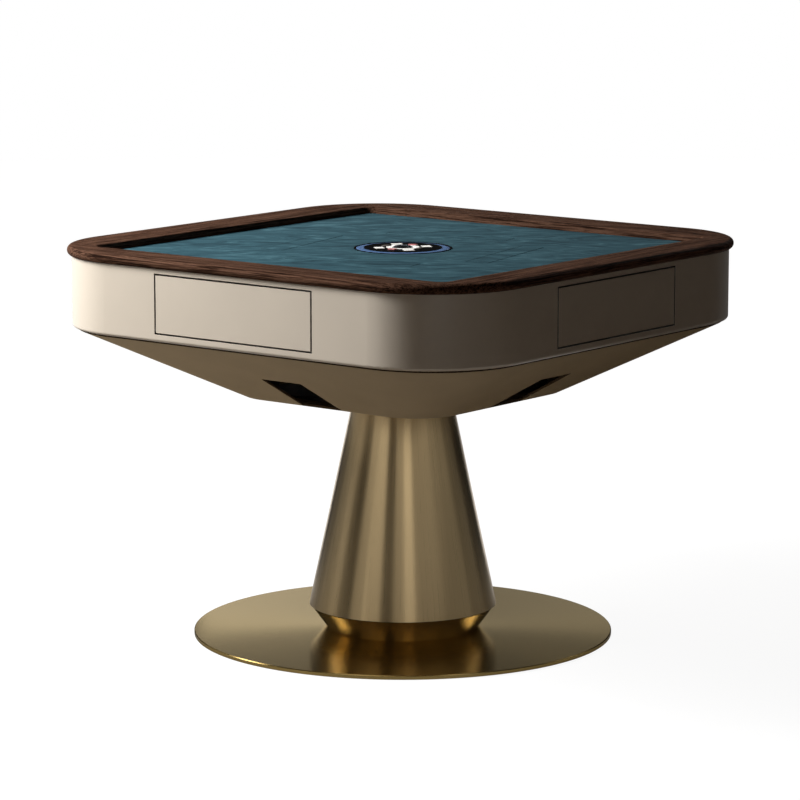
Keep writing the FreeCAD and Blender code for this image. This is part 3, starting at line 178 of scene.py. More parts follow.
BACK_HIGH_CARDS = ((150.0, 195.0, 0.04), (195.0, 250.0, 0.04))
CEILING_CARDS = ((-180.0, 180.0, 0.03),)
LAMP_CARDS = ((-86.0, -64.0, 5.5), (162.0, 180.0, 4.5))

# Curve of the display's colours
DISPLAY_WHITE = 255
DISPLAY_KNEE = 0.04045
DISPLAY_SLOPE = 12.92
DISPLAY_OFFSET = 0.055
DISPLAY_POWER = 2.4


def srgb(red, green, blue):
    """Linear colour from 0-255 display values."""
    def linear(value):
        share = value / DISPLAY_WHITE
        if share <= DISPLAY_KNEE:
            return share / DISPLAY_SLOPE
        return ((share + DISPLAY_OFFSET) / (1 + DISPLAY_OFFSET)) ** DISPLAY_POWER
    return (linear(red), linear(green), linear(blue), 1.0)


# Levels of the mirror-like reflection of surfaces that aren't metal
NO_SPECULAR = 0.0
WALNUT_SPECULAR = 0.01
FACE_SPECULAR = 0.04
DULL_SPECULAR = 0.1
PLAIN_SPECULAR = 0.5

# Lamps of the console
LIGHT_COLOUR = srgb(255, 250, 244)
LIGHT_STRENGTH = 0.42

# Plain stuffs by slot: display colour, roughness, grains per metre, relief, share by which the tone varies
TONE_SHARE = 0.06
WOOD_TONE_SHARE = 0.15
KEY_TONE_SHARE = 0.04
EVEN_TONE_SHARE = 0.02
PLAIN_STUFFS = {
    "pad_rubber": ((38, 38, 38), 0.85, 900.0, ROUGH_RELIEF, TONE_SHARE),
    "weight_iron": ((84, 82, 80), 0.6, 400.0, ROUGH_RELIEF, TONE_SHARE),
    "structural_steel": ((104, 94, 86), 0.6, 1200.0, ROLLED_RELIEF, TONE_SHARE),
    "bolt_steel": ((176, 176, 170), 0.35, 500.0, SATIN_RELIEF, TONE_SHARE),
    "board_wood": ((170, 142, 106), 0.7, 300.0, WOOD_RELIEF, WOOD_TONE_SHARE),
    "tray_plastic": ((58, 53, 49), 0.5, 1500.0, MOULDED_RELIEF, TONE_SHARE),
    "rail_steel": ((184, 184, 182), 0.3, 700.0, SATIN_RELIEF, TONE_SHARE),
    "black_plastic": ((16, 16, 17), 0.3, 900.0, SATIN_RELIEF, TONE_SHARE),
    "white_light": ((236, 236, 230), 0.3, 500.0, POLISHED_RELIEF, EVEN_TONE_SHARE),
    "dice_white": ((232, 230, 222), 0.25, 400.0, POLISHED_RELIEF, EVEN_TONE_SHARE),
    "key_pink": ((226, 150, 150), 0.3, 500.0, POLISHED_RELIEF, KEY_TONE_SHARE),
    "key_grey": ((112, 106, 102), 0.3, 500.0, POLISHED_RELIEF, KEY_TONE_SHARE),
    "drum_plastic": ((112, 112, 115), 0.5, 900.0, MOULDED_RELIEF, TONE_SHARE),
    "wheel_rubber": ((46, 46, 46), 0.8, 700.0, ROUGH_RELIEF, TONE_SHARE),
    "motor_paint": ((118, 119, 122), 0.45, 700.0, PAINTED_RELIEF, TONE_SHARE),
}

# Other values of the plain stuffs' surfaces
PLAIN_VALUES = {
    "weight_iron": {"Metallic": 0.8},
    "bolt_steel": {"Metallic": 1.0},
    "rail_steel": {"Metallic": 1.0},
    "black_plastic": {"Specular_IOR_Level": DULL_SPECULAR},
    "white_light": {
        "Emission_Color": LIGHT_COLOUR, "Emission_Strength": LIGHT_STRENGTH,
        "Specular_IOR_Level": DULL_SPECULAR},
    "key_pink": {"Specular_IOR_Level": DULL_SPECULAR},
    "key_grey": {"Specular_IOR_Level": DULL_SPECULAR},
}
CLOUD_SCALE = 9.0
CLOUD_DETAIL = 3.0
CLOUD_LIMITS = (0.3, 0.7)
GRAIN_DETAIL = 3.0
GRAIN_GLOSS_SHARES = (0.85, 1.15)

# Brushed metals: display colour, display tint at grazing angles, roughness, anisotropy, and scales of the
# brush lines by reach, angle and height
BRUSHED_METALS = {
    "brushed_brass": ((198, 173, 130), (255, 255, 255), 0.28, 0.9, (0.0, 160.0, 4.0)),
    "polished_brass": ((186, 166, 126), (255, 255, 255), 0.22, 0.95, (0.0, 160.0, 4.0)),
    "brushed_disc": ((200, 170, 106), (230, 228, 218), 0.19, 0.8, (420.0, 2.0, 0.0)),
}
BRUSH_NOISE = {"detail": 3.0, "roughness": 0.7}
BRUSH_ROTATION = 0.25
BRUSH_LIMITS = (0.2, 0.8)
BRUSH_TONE_SHARES = (0.92, 1.07)
BRUSH_GLOSS_SHARES = (0.85, 1.2)

# See-through plastics: display colour, roughness, share of the light let through, and specular level
CLEAR_PLASTICS = {
    "blue_plastic": ((104, 140, 192), 0.25, 0.2, DULL_SPECULAR),
    "dome_clear": ((58, 60, 64), 0.04, 1.0, PLAIN_SPECULAR),
}
PLASTIC_IOR = 1.49
HAZE_SCALE = 90.0
HAZE_DETAIL = 3.0
HAZE_LIMITS = (0.3, 0.7)
HAZE_TONE_SHARES = (0.94, 1.0)
HAZE_GLOSS_SHARES = (0.7, 1.3)

# Lacquers of the side panels and the shroud, with painted shade in the drawer gaps, on the vents' cut
# edges and on the shroud's lip
LACQUER_GRAIN = 500.0
FASCIA_COLOUR = srgb(207, 196, 180)
FASCIA_ROUGHNESS = 0.33
FASCIA_TONE_SHARE = 0.02
FASCIA_COAT = 0.1
FASCIA_COAT_ROUGHNESS = 0.25
# Painted shade in the gap round each drawer
PAINTED_GAP_SHADE_COLOUR = srgb(48, 40, 33)
SHROUD_COLOUR = srgb(192, 178, 154)
SHROUD_ROUGHNESS = 0.55
SHROUD_TONE_SHARE = 0.04
# Painted shade on the vents' cut edges, and painted shadow on the shroud's lip under the side panels
VENT_EDGE_SHADE_COLOUR = srgb(104, 88, 70)
LIP_SHADOW_COLOUR = srgb(64, 52, 42)

# Walnut: grain along a rail and across it, in lines per metre
WALNUT_BAND_SCALES = (6.0, 190.0, 190.0)
WALNUT_BANDS = {"detail": 6.0, "roughness": 0.75, "distortion": 0.6}
WALNUT_STOPS = (
    (0.38, srgb(28, 17, 12)), (0.46, srgb(70, 48, 37)),
    (0.54, srgb(112, 82, 66)), (0.64, srgb(44, 28, 21)))
PORE_SCALES = (10.0, 700.0, 700.0)
PORE_LIMITS = (0.5, 0.66)
PORE_COLOUR = srgb(30, 18, 12)
WALNUT_ROUGHNESS = (0.5, 0.7)

# Felt: brush strokes and fibres, in lines per metre
STROKE_SCALES = (10.0, 22.0, 10.0)
STROKE_TURN = -35.0
STROKES = {"detail": 5.0, "roughness": 0.62, "distortion": 1.6}
FELT_STOPS = (
    (0.32, srgb(38, 67, 77)), (0.45, srgb(50, 84, 95)),
    (0.55, srgb(58, 94, 105)), (0.68, srgb(80, 120, 131)))
FIBRE_SCALE = 1400.0
FIBRE_SHARE = 0.3
FIBRE_COLOUR = srgb(30, 56, 65)
FELT_ROUGHNESS = 0.95
FELT_SHEEN = 0.03
FELT_SHEEN_ROUGHNESS = 0.5
# Sides of the tile lifts, near-black as painted shade in the gap round them
LIFT_SIDE_SHADE_COLOUR = srgb(14, 17, 18)

# Console's face
FACE_COLOUR = srgb(9, 9, 10)
FACE_ROUGHNESS = 0.3
FACE_GRAIN = 900.0
LIGHT_RING_COLOUR = srgb(240, 240, 236)


def scaled(colour, share):
    """Colour made lighter or darker."""
    return tuple(channel * share for channel in colour[:3]) + (1.0,)


class Shader:
    """Node tree of one material."""

    def __init__(self, name, **values):
        self.material = bpy.data.materials.new(name)
        self.material.use_nodes = True
        self.nodes = self.material.node_tree.nodes
        self.surface = self.nodes["Principled BSDF"]
        for socket, value in values.items():
            self.surface.inputs[socket.replace("_", " ")].default_value = value

    def add(self, kind, **properties):
        """New node with properties."""
        node = self.nodes.new(kind)
        for name, value in properties.items():
            setattr(node, name, value)
        return node

    def link(self, source, target):
        """Join an output to an input."""
        self.material.node_tree.links.new(source, target)

    def feed(self, source, socket):
        """Join an output to a socket of the surface."""
        self.link(source, self.surface.inputs[socket])

    def place(self, scale=(1.0, 1.0, 1.0), turn=0.0):
        """Position on the object, turned about Z and then scaled."""
        position = self.add("ShaderNodeTexCoord").outputs["Object"]
        turned_place = self.add("ShaderNodeMapping")
        turned_place.inputs["Rotation"].default_value = (0.0, 0.0, math.radians(turn))
        self.link(position, turned_place.inputs["Vector"])
        stretched = self.add("ShaderNodeMapping")
        stretched.inputs["Scale"].default_value = scale
        self.link(turned_place.outputs["Vector"], stretched.inputs["Vector"])
        return stretched.outputs["Vector"]

    def noise(self, vector, scale=1.0, detail=2.0, roughness=0.5, distortion=0.0):
        """Noise from 0 to 1."""
        node = self.add("ShaderNodeTexNoise")
        node.inputs["Scale"].default_value = scale
        node.inputs["Detail"].default_value = detail
        node.inputs["Roughness"].default_value = roughness
        node.inputs["Distortion"].default_value = distortion
        self.link(vector, node.inputs["Vector"])
        return node.outputs["Fac"]

    def ramp(self, factor, stops):
        """Colour from (position, colour) stops."""
        node = self.add("ShaderNodeValToRGB")
        elements = node.color_ramp.elements
        while len(elements) < len(stops):
            elements.new(1.0)
        for element, (position, colour) in zip(elements, stops):
            element.position = position
            element.color = colour
        self.link(factor, node.inputs["Fac"])
        return node.outputs["Color"]

    def tones(self, value, colour, limits, shares):
        """Colour that goes from one share of itself to another as a value passes between two limits."""
        return self.ramp(value, [(limit, scaled(colour, share)) for limit, share in zip(limits, shares)])

    def remap(self, value, low, high, start=0.0, end=1.0):
        """Value from start..end spread over low..high."""
        node = self.add("ShaderNodeMapRange")
        for socket, number in zip(("From Min", "From Max", "To Min", "To Max"), (start, end, low, high)):
            node.inputs[socket].default_value = number
        self.link(value, node.inputs["Value"])
        return node.outputs["Result"]

    def math(self, operation, first, second=0.0):
        """Arithmetic on two values, each an output or a number."""
        node = self.add("ShaderNodeMath", operation=operation)
        for socket, value in zip(node.inputs, (first, second)):
            if isinstance(value, (int, float)):
                socket.default_value = value
            else:
                self.link(value, socket)
        return node.outputs["Value"]

    def within(self, value, low, high):
        """1 where a value lies between two limits, and 0 elsewhere."""
        above = self.math("GREATER_THAN", value, low)
        below = self.math("LESS_THAN", value, high)
        return self.math("MULTIPLY", above, below)

    def split(self):
        """Coordinates of the position on the object."""
        node = self.add("ShaderNodeSeparateXYZ")
        self.link(self.place(), node.inputs["Vector"])
        return [node.outputs[axis] for axis in "XYZ"]

    def side_distances(self):
        """Distances from the table's two middle planes, the shorter first, and the height."""
        x, y, z = self.split()
        across = self.math("ABSOLUTE", x)
        along = self.math("ABSOLUTE", y)
        return self.math("MINIMUM", across, along), self.math("MAXIMUM", across, along), z

    def polar_parts(self):
        """Reach from the table's axis, angle about it, and height."""
        x, y, z = self.split()
        flat = self.add("ShaderNodeCombineXYZ")
        self.link(x, flat.inputs["X"])
        self.link(y, flat.inputs["Y"])
        reach = self.add("ShaderNodeVectorMath", operation="LENGTH")
        self.link(flat.outputs["Vector"], reach.inputs[0])
        return reach.outputs["Value"], self.math("ARCTAN2", y, x), z

    def gloss(self, value, roughness, shares):
        """Roughness that goes from one share of itself to another with a value."""
        low, high = [roughness * share for share in shares]
        self.feed(self.remap(value, low, high), "Roughness")

    def grain(self, scale, roughness, relief):
        """Fine grain in the gloss, with a light relief."""
        fine = self.noise(self.place(), scale, detail=GRAIN_DETAIL)
        self.gloss(fine, roughness, GRAIN_GLOSS_SHARES)
        self.bump(fine, relief)

    def cloudy(self, colour, spread_share):
        """Colour that varies softly over the surface."""
        cloud = self.noise(self.place(), CLOUD_SCALE, detail=CLOUD_DETAIL)
        return self.tones(cloud, colour, CLOUD_LIMITS, (1 - spread_share, 1 + spread_share))

    def mix(self, factor, first, second):
        """Blend of two colours, each an output or a colour."""
        node = self.add("ShaderNodeMix", data_type="RGBA")
        sockets = [socket for socket in node.inputs if socket.type == "RGBA"]
        for socket, value in zip(sockets, (first, second)):
            if isinstance(value, tuple):
                socket.default_value = value
            else:
                self.link(value, socket)
        self.link(factor, node.inputs["Factor"])
        return next(socket for socket in node.outputs if socket.type == "RGBA")

    def bump(self, height, depth):
        """Relief of a depth in metres."""
        node = self.add("ShaderNodeBump")
        node.inputs["Strength"].default_value = 1.0
        node.inputs["Distance"].default_value = depth
        self.link(height, node.inputs["Height"])
        self.feed(node.outputs["Normal"], "Normal")


def mottled(name, colour, roughness, grain, relief, spread_share):
    """Plain coloured stuff with cloudy tone, fine grain in its gloss and a light relief."""
    shader = Shader(name, **PLAIN_VALUES.get(name, {}))
    shader.feed(shader.cloudy(srgb(*colour), spread_share), "Base Color")
    shader.grain(grain, roughness, relief)
    return shader.material


def fascia_lacquer():
    """Cream lacquer of the side panels and drawer fronts, with painted shade in the gap round each drawer.
    """
    shader = Shader("fascia_lacquer", Coat_Weight=FASCIA_COAT, Coat_Roughness=FASCIA_COAT_ROUGHNESS)
    low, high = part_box("drawer_front_panel")
    sideways, _, height = shader.side_distances()
    beyond_end = shader.math("SUBTRACT", sideways, high.x)
    from_middle = shader.math("ABSOLUTE", shader.math("SUBTRACT", height, (low.z + high.z) / 2))
    beyond_top = shader.math("SUBTRACT", from_middle, (high.z - low.z) / 2)
    beyond_edge = shader.math("MAXIMUM", beyond_end, beyond_top)
    # The gap round each drawer is painted dark as the shade that falls in it
    painted_gap_shade = shader.within(beyond_edge, -GAP_SHADE, DRAWER_GAP + GAP_SHADE)
    cream = shader.cloudy(FASCIA_COLOUR, FASCIA_TONE_SHARE)
    shader.feed(shader.mix(painted_gap_shade, cream, PAINTED_GAP_SHADE_COLOUR), "Base Color")
    shader.grain(LACQUER_GRAIN, FASCIA_ROUGHNESS, SATIN_RELIEF)
    return shader.material


def shroud_lacquer():
    """Lacquered shroud, with painted shadow on its lip under the side panels and painted shade on the cut
    edges of its vents.
    """
    shader = Shader("shroud_lacquer", Specular_IOR_Level=NO_SPECULAR)
    sideways, outward, height = shader.side_distances()
    # Painted shade on the vents' cut edges and painted shadow on the lip under the side panels
    across_vent = shader.math("LESS_THAN", sideways, VENT_HALF_WIDTH)
    vent_edge_shade = shader.math("MULTIPLY", across_vent, shader.within(outward, VENT_START, VENT_END))
    lip_shadow = shader.math("GREATER_THAN", height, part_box("shroud")[1].z - SHROUD_LIP_SHADOW_DEPTH)
    vent_shaded = shader.mix(vent_edge_shade, shader.cloudy(SHROUD_COLOUR, SHROUD_TONE_SHARE), VENT_EDGE_SHADE_COLOUR)
    shader.feed(shader.mix(lip_shadow, vent_shaded, LIP_SHADOW_COLOUR), "Base Color")
    shader.grain(LACQUER_GRAIN, SHROUD_ROUGHNESS, SATIN_RELIEF)
    return shader.material


def walnut(side, turn):
    """Dark stained walnut with its grain along one rail of the rim."""
    shader = Shader("walnut_" + side, Specular_IOR_Level=WALNUT_SPECULAR)
    bands = shader.noise(shader.place(WALNUT_BAND_SCALES, turn), **WALNUT_BANDS)
    pores = shader.noise(shader.place(PORE_SCALES, turn))
    pore_share = shader.remap(pores, 0.0, 1.0, *PORE_LIMITS)
    shader.feed(shader.mix(pore_share, shader.ramp(bands, WALNUT_STOPS), PORE_COLOUR), "Base Color")
    shader.feed(shader.remap(pores, *WALNUT_ROUGHNESS), "Roughness")
    shader.bump(shader.math("SUBTRACT", 1.0, pore_share), WOOD_RELIEF)
    return shader.material


def felt_shader(name):
    """Brushed playing felt: its shader and its colour."""
    shader = Shader(name, Roughness=FELT_ROUGHNESS, Specular_IOR_Level=NO_SPECULAR,
                    Sheen_Weight=FELT_SHEEN, Sheen_Roughness=FELT_SHEEN_ROUGHNESS)
    strokes = shader.noise(shader.place(STROKE_SCALES, STROKE_TURN), **STROKES)
    fibres = shader.noise(shader.place(), FIBRE_SCALE)
    shader.bump(fibres, FELT_RELIEF)
    fibre_share = shader.remap(fibres, 0.0, FIBRE_SHARE)
    return shader, shader.mix(fibre_share, shader.ramp(strokes, FELT_STOPS), FIBRE_COLOUR)


def felt():
    """Teal suede-like felt."""
    shader, colour = felt_shader("felt")
    shader.feed(colour, "Base Color")
    return shader.material


def felt_faced():
    """Plastic bar of a tile lift, whose top face carries the felt; its sides are near-black as painted
    shade in the gap round it.
    """
    shader, colour = felt_shader("lift_faced")
    felt_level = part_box("lift_front_platform")[1].z - LIFT_FELT_DEPTH
    on_top = shader.math("GREATER_THAN", shader.split()[2], felt_level)
    # The lift's sides are painted near-black as shade in the gap round it
    shader.feed(shader.mix(on_top, LIFT_SIDE_SHADE_COLOUR, colour), "Base Color")
    return shader.material


def brushed_metal(name, colour, tint, roughness, anisotropy, scales):
    """Lacquered metal with brush lines; the scales stretch them by reach, angle and height."""
    shader = Shader(name, Metallic=1.0, Anisotropic=anisotropy, Anisotropic_Rotation=BRUSH_ROTATION,
                    Specular_Tint=srgb(*tint))
    tangent = shader.add("ShaderNodeTangent", direction_type="RADIAL", axis="Z")
    shader.feed(tangent.outputs["Tangent"], "Tangent")
    lines = shader.add("ShaderNodeCombineXYZ")
    for part, scale, socket in zip(shader.polar_parts(), scales, lines.inputs):
        shader.link(shader.math("MULTIPLY", part, scale), socket)
    brush = shader.noise(lines.outputs["Vector"], **BRUSH_NOISE)
    shader.feed(shader.tones(brush, srgb(*colour), BRUSH_LIMITS, BRUSH_TONE_SHARES), "Base Color")
    shader.gloss(brush, roughness, BRUSH_GLOSS_SHARES)
    shader.bump(brush, BRUSHED_RELIEF)
    return shader.material


def console_face():
    """Black plastic with a white light ring round the dome."""
    shader = Shader("console_face", Emission_Strength=LIGHT_STRENGTH, Specular_IOR_Level=FACE_SPECULAR)
    reach, _, height = shader.polar_parts()
    on_top = shader.math("GREATER_THAN", height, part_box("console_body")[1].z - LIGHT_RING_DEPTH)
    lit = shader.math("MULTIPLY", shader.within(reach, LIGHT_RING_INNER, LIGHT_RING_OUTER), on_top)
    shader.feed(shader.mix(lit, FACE_COLOUR, LIGHT_RING_COLOUR), "Base Color")
    shader.feed(shader.mix(lit, BLACK, LIGHT_COLOUR), "Emission Color")
    shader.grain(FACE_GRAIN, FACE_ROUGHNESS, SATIN_RELIEF)
    return shader.material


def clear_plastic(name, colour, roughness, transmission, specular):
    """Tinted see-through plastic with a light haze."""
    shader = Shader(name, Transmission_Weight=transmission, IOR=PLASTIC_IOR, Specular_IOR_Level=specular)
    haze = shader.noise(shader.place(), HAZE_SCALE, detail=HAZE_DETAIL)
    shader.feed(shader.tones(haze, srgb(*colour), HAZE_LIMITS, HAZE_TONE_SHARES), "Base Color")
    shader.gloss(haze, roughness, HAZE_GLOSS_SHARES)
    return shader.material


def slot_materials():
    """Materials by slot, and the disc's; the rim, the felt and the console's face have their own."""
    materials = {}
    tables = (
        (mottled, PLAIN_STUFFS), (brushed_metal, BRUSHED_METALS), (clear_plastic, CLEAR_PLASTICS))
    for make, table in tables:
        for name, values in table.items():
            materials[name] = make(name, *values)
    materials["shroud_lacquer"] = shroud_lacquer()
    materials["fascia_lacquer"] = fascia_lacquer()
    materials["lift_plastic"] = felt_faced()
    return materials


def wear(node, material):
    """Give a CAD node one material."""
    slots = frame["nodes"][node].data.materials
    slots.clear()
    slots.append(material)


def dress_nodes():
    """Give every carried-over node its material."""
    materials = slot_materials()
    for entry in frame["record"]["subparts"]:
        if entry["material_slot"] in materials:
            wear(entry["node"], materials[entry["material_slot"]])
    wear("base_disc", materials["brushed_disc"])
    wear("console_body", console_face())
    for step, side in enumerate(SIDES):
        wear("rim_" + side, walnut(side, -QUARTER_TURN * step))


def turned(point, angle):
    """Point turned about the table's axis."""
    sine = math.sin(math.radians(angle))
    cosine = math.cos(math.radians(angle))
    return (point[0] * cosine - point[1] * sine, point[0] * sine + point[1] * cosine)


def rounded_loop(half_x, half_y, radius, y_centre=0.0, turn=0.0):
    """Points round a rectangle with round corners."""
    points = []
    for quarter, (sign_x, sign_y) in enumerate(((1, -1), (1, 1), (-1, 1), (-1, -1))):
        for step in range(CORNER_STEPS + 1):
            angle = math.radians(QUARTER_TURN * (quarter - 1 + step / CORNER_STEPS))
            x = sign_x * (half_x - radius) + radius * math.cos(angle)
            y = y_centre + sign_y * (half_y - radius) + radius * math.sin(angle)
            points.append(turned((x, y), turn))
    return points


def circle_loop(radius):
    """Points round a circle about the table's axis."""
    angles = [2 * math.pi * step / CIRCLE_STEPS for step in range(CIRCLE_STEPS)]
    return [(radius * math.cos(angle), radius * math.sin(angle)) for angle in angles]


def felt_loops(inset):
    """Outline and spaces of the felt, drawn back from its edges by an inset."""
    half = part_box("felt_cover")[1].x - inset
    loops = [rounded_loop(half, half, FELT_CORNER_RADIUS - inset)]
    slot_half = (SLOT_LENGTH / 2 + inset, SLOT_WIDTH / 2 + inset)
    for step in range(len(SIDES)):
        turn = MACHINE_TURN + QUARTER_TURN * step
        loops.append(rounded_loop(*slot_half, SLOT_ROUND + inset, -SLOT_RADIUS, turn))
    loops.append(circle_loop(WELL_RADIUS + inset))
    return loops


def felt_levels():
    """Inset and height of each ring along the felt's edge, from its top face to its underside."""
    low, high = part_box("felt_cover")
    levels = []
    for step in range(FELT_ROLL_STEPS + 1):
        angle = math.radians(QUARTER_TURN * step / FELT_ROLL_STEPS)
        levels.append((FELT_ROLL * (1 - math.sin(angle)), high.z - FELT_ROLL * (1 - math.cos(angle))))
    levels.append((0.0, low.z))
    return levels


def loop_area(points):
    """Area inside a loop of points."""
    pairs = zip(points, points[1:] + points[:1])
    return abs(sum(a[0] * b[1] - b[0] * a[1] for a, b in pairs)) / 2


def ring_of_vertices(mesh, points, z):
    """Closed ring of vertices and edges at one height."""
    ring = [mesh.verts.new((x, y, z)) for x, y in points]
    edges = [mesh.edges.new(pair) for pair in zip(ring, ring[1:] + ring[:1])]
    return ring, edges


def felt_mesh():
    """Two faces with the spaces cut into them, joined by rolled edges."""
    mesh = bmesh.new()
    rows = [[ring_of_vertices(mesh, loop, z) for loop in felt_loops(inset)] for inset, z in felt_levels()]
    for row in (rows[0], rows[-1]):
        row_edges = [edge for _, edges in row for edge in edges]
        bmesh.ops.triangle_fill(mesh, use_beauty=True, edges=row_edges)
    for upper, lower in zip(rows, rows[1:]):
        for (above, _), (below, _) in zip(upper, lower):
            for index in range(len(above)):
                face = mesh.faces.new((above[index - 1], above[index], below[index], below[index - 1]))
                face.smooth = True
    bmesh.ops.recalc_face_normals(mesh, faces=mesh.faces)
    return mesh


def piece_from(mesh, name, material):
    """Object made from a finished mesh."""
    data = bpy.data.meshes.new(name)
    mesh.to_mesh(data)
    mesh.free()
    data.materials.append(material)
    piece = bpy.data.objects.new(name, data)
    bpy.context.scene.collection.objects.link(piece)
    return piece


def felt_sheet():
    """Stretched felt whose edges roll over into the slots, the console's well and the rim's corner."""
    piece = piece_from(felt_mesh(), "felt_sheet", felt())
    outline, *spaces = felt_loops(0.0)
    area = loop_area(outline) - sum(loop_area(space) for space in spaces)
    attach(piece, "table")
    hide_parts("felt_cover")


def backdrop_mix(tree, lighting, shown):
    """One shader for rays that light the table, and another for rays that show the backdrop."""
    path = tree.nodes.new("ShaderNodeLightPath")
    direct = path.outputs["Is Camera Ray"]
    for name in ("Is Glossy Ray", "Is Transmission Ray"):
        larger = tree.nodes.new("ShaderNodeMath")
        larger.operation = "MAXIMUM"
        tree.links.new(direct, larger.inputs[0])
        tree.links.new(path.outputs[name], larger.inputs[1])
        direct = larger.outputs["Value"]
    mix = tree.nodes.new("ShaderNodeMixShader")
    for source, socket in zip((direct, lighting, shown), mix.inputs):
        tree.links.new(source, socket)
    return mix.outputs["Shader"]


def make_world():
    """White backdrop with a faint warm fill."""
    world = bpy.data.worlds.new("studio")
    bpy.context.scene.world = world
    world.use_nodes = True
    tree = world.node_tree
    fill = tree.nodes["Background"]
    white = tree.nodes.new("ShaderNodeBackground")
    looks = ((fill, AMBIENT_COLOUR, AMBIENT_STRENGTH), (white, WHITE, BACKDROP_STRENGTH))
    for node, colour, strength in looks:
        node.inputs["Color"].default_value = colour
        node.inputs["Strength"].default_value = strength
    backdrop = backdrop_mix(tree, fill.outputs["Background"], white.outputs["Background"])
    tree.links.new(backdrop, tree.nodes["World Output"].inputs["Surface"])


def floor_glow(shader):
    """Brightness of the floor by its reach, lower near the table; in glossy rays it is much lower near the
    table, a painted shadow where surfaces mirror it.
    """
    reach = shader.add("ShaderNodeVectorMath", operation="LENGTH")
    shader.link(shader.add("ShaderNodeTexCoord").outputs["Object"], reach.inputs[0])
    distance = reach.outputs["Value"]
    seen = shader.remap(distance, FLOOR_NEAR_GLOW, FLOOR_FAR_GLOW, FLOOR_GLOW_START, FLOOR_GLOW_END)
    # Painted shadow of the table in the floor as glossy surfaces see it
    mirrored_painted_shadow = shader.remap(
        distance, FLOOR_MIRRORED_SHADOW_GLOW, FLOOR_FAR_GLOW, FLOOR_MIRRORED_START, FLOOR_MIRRORED_END)
    choice = shader.add("ShaderNodeMix")
    shader.link(shader.add("ShaderNodeLightPath").outputs["Is Glossy Ray"], choice.inputs["Factor"])
    shader.link(seen, choice.inputs["A"])
    shader.link(mirrored_painted_shadow, choice.inputs["B"])
    return choice.outputs["Result"]


def floor_material():
    """Pale floor that shows as white, apart from the object's shadow near it."""
    shader = Shader("floor", Base_Color=FLOOR_BOUNCE, Roughness=FLOOR_ROUGHNESS,
                    Specular_IOR_Level=NO_SPECULAR)
    faint = shader.add("ShaderNodeBsdfDiffuse")
    faint.inputs["Color"].default_value = FLOOR_SHADE
    glow = shader.add("ShaderNodeEmission")
    shader.link(floor_glow(shader), glow.inputs["Strength"])
    bright = shader.add("ShaderNodeAddShader")
    shader.link(faint.outputs["BSDF"], bright.inputs[0])
    shader.link(glow.outputs["Emission"], bright.inputs[1])
    paint = shader.surface.outputs["BSDF"]
    floor = backdrop_mix(shader.material.node_tree, paint, bright.outputs["Shader"])
    shader.link(floor, shader.nodes["Material Output"].inputs["Surface"])
    return shader.material


def make_floor():
    """Round floor under the table."""
    mesh = bmesh.new()
    bmesh.ops.create_circle(mesh, cap_ends=True, segments=FLOOR_STEPS, radius=FLOOR_RADIUS)
    bmesh.ops.translate(mesh, verts=mesh.verts, vec=(0.0, 0.0, -FLOOR_DROP))
    piece_from(mesh, "floor", floor_material())


def around(azimuth, reach, height):
    """Point at an azimuth about the table, 0 in front and 90 on its right."""
    angle = math.radians(azimuth)
    return Vector((reach * math.sin(angle), -reach * math.cos(angle), height))


def make_lamp(name, place, aim, width, tall, power):
    """Soft box that points at a place."""
    light = bpy.data.lights.new(name, "AREA")
    light.shape = "RECTANGLE"
    light.size = width
    light.size_y = tall
    light.energy = power
    lamp = bpy.data.objects.new(name, light)
    lamp.location = place
    lamp.rotation_euler = (aim - place).to_track_quat("-Z", "Y").to_euler()
    lamp.visible_camera = False
    lamp.visible_glossy = False
    bpy.context.scene.collection.objects.link(lamp)


def card_material(name, strength):
    """Evenly glowing card."""
    shader = Shader(name)
    glow = shader.add("ShaderNodeEmission")
    glow.inputs["Color"].default_value = WHITE
    glow.inputs["Strength"].default_value = strength
    shader.link(glow.outputs["Emission"], shader.nodes["Material Output"].inputs["Surface"])
    return shader.material


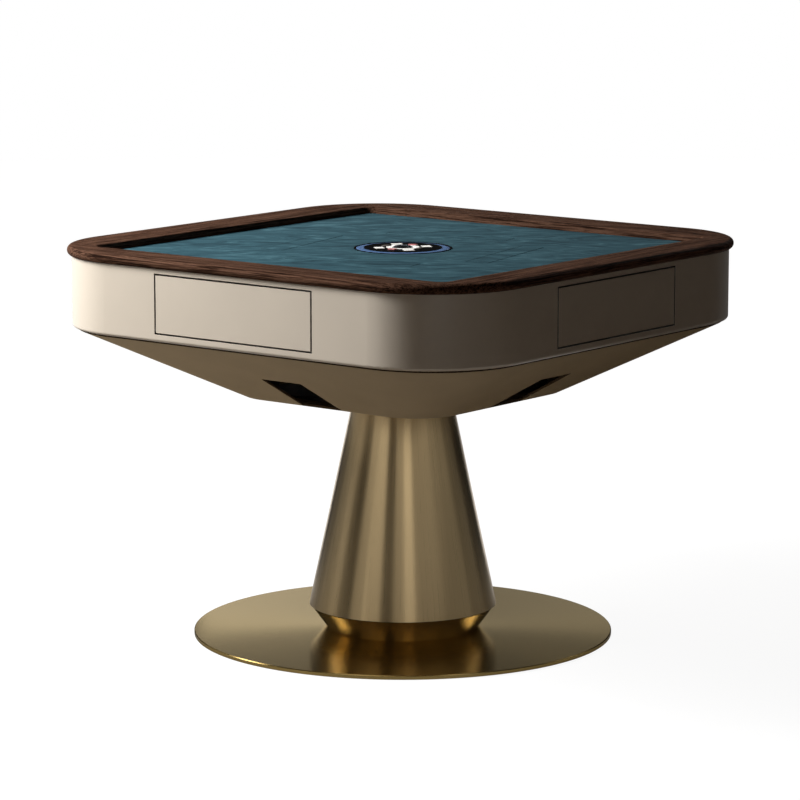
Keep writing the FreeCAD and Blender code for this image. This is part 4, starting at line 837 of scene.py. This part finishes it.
def make_card(name, start, end, strength, reach, low, high):
    """Curved card round the table between two azimuths, seen only in glossy reflections."""
    mesh = bmesh.new()
    count = max(LEAST_CARD_STEPS, math.ceil((end - start) / CARD_STEP))
    columns = []
    for step in range(count + 1):
        azimuth = start + (end - start) * step / count
        columns.append([mesh.verts.new(around(azimuth, reach, z)) for z in (low, high)])
    for left, right in zip(columns, columns[1:]):
        mesh.faces.new((left[0], right[0], right[1], left[1]))
    card = piece_from(mesh, name, card_material(name, strength))
    card.visible_camera = False
    card.visible_diffuse = False
    card.visible_transmission = False
    card.visible_volume_scatter = False
    card.visible_shadow = False


def make_cards():
    """Reflection cards of every tier."""
    tiers = (
        ("near", NEAR_TIER, NEAR_CARDS), ("top", TOP_TIER, TOP_CARDS),
        ("low", LOW_TIER, LOW_CARDS), ("high", HIGH_TIER, HIGH_CARDS),
        ("back_low", BACK_LOW_TIER, BACK_LOW_CARDS), ("back_high", BACK_HIGH_TIER, BACK_HIGH_CARDS),
        ("ceiling", CEILING_TIER, CEILING_CARDS), ("lamp", LAMP_TIER, LAMP_CARDS))
    for tier, place, cards in tiers:
        for index, (start, end, strength) in enumerate(cards):
            make_card(f"card_{tier}_{index}", start, end, strength, *place)


def make_studio():
    """Floor, backdrop, lamps and reflection cards."""
    make_world()
    make_floor()
    aim = Vector((0.0, 0.0, AIM_HEIGHT))
    make_lamp("key", around(KEY_AZIMUTH, KEY_REACH, KEY_HEIGHT), aim, KEY_WIDTH, KEY_TALL, KEY_POWER)
    make_lamp("back", around(BACK_AZIMUTH, BACK_REACH, BACK_HEIGHT), aim, BACK_SIZE, BACK_SIZE, BACK_POWER)
    make_cards()


def make_camera():
    """Camera at the photograph's place."""
    data = bpy.data.cameras.new("camera")
    data.lens = CAMERA_LENS
    data.sensor_width = SENSOR_WIDTH
    data.sensor_fit = "HORIZONTAL"
    camera = bpy.data.objects.new("camera", data)
    camera.location = around(CAMERA_AZIMUTH, CAMERA_REACH, CAMERA_HEIGHT)
    heading = math.radians(CAMERA_AZIMUTH + CAMERA_YAW)
    camera.rotation_euler = (math.radians(QUARTER_TURN - CAMERA_PITCH), 0.0, heading)
    bpy.context.scene.collection.objects.link(camera)
    bpy.context.scene.camera = camera
    bpy.context.scene.view_settings.view_transform = "Standard"


dress_nodes()
felt_sheet()
make_studio()
make_camera()
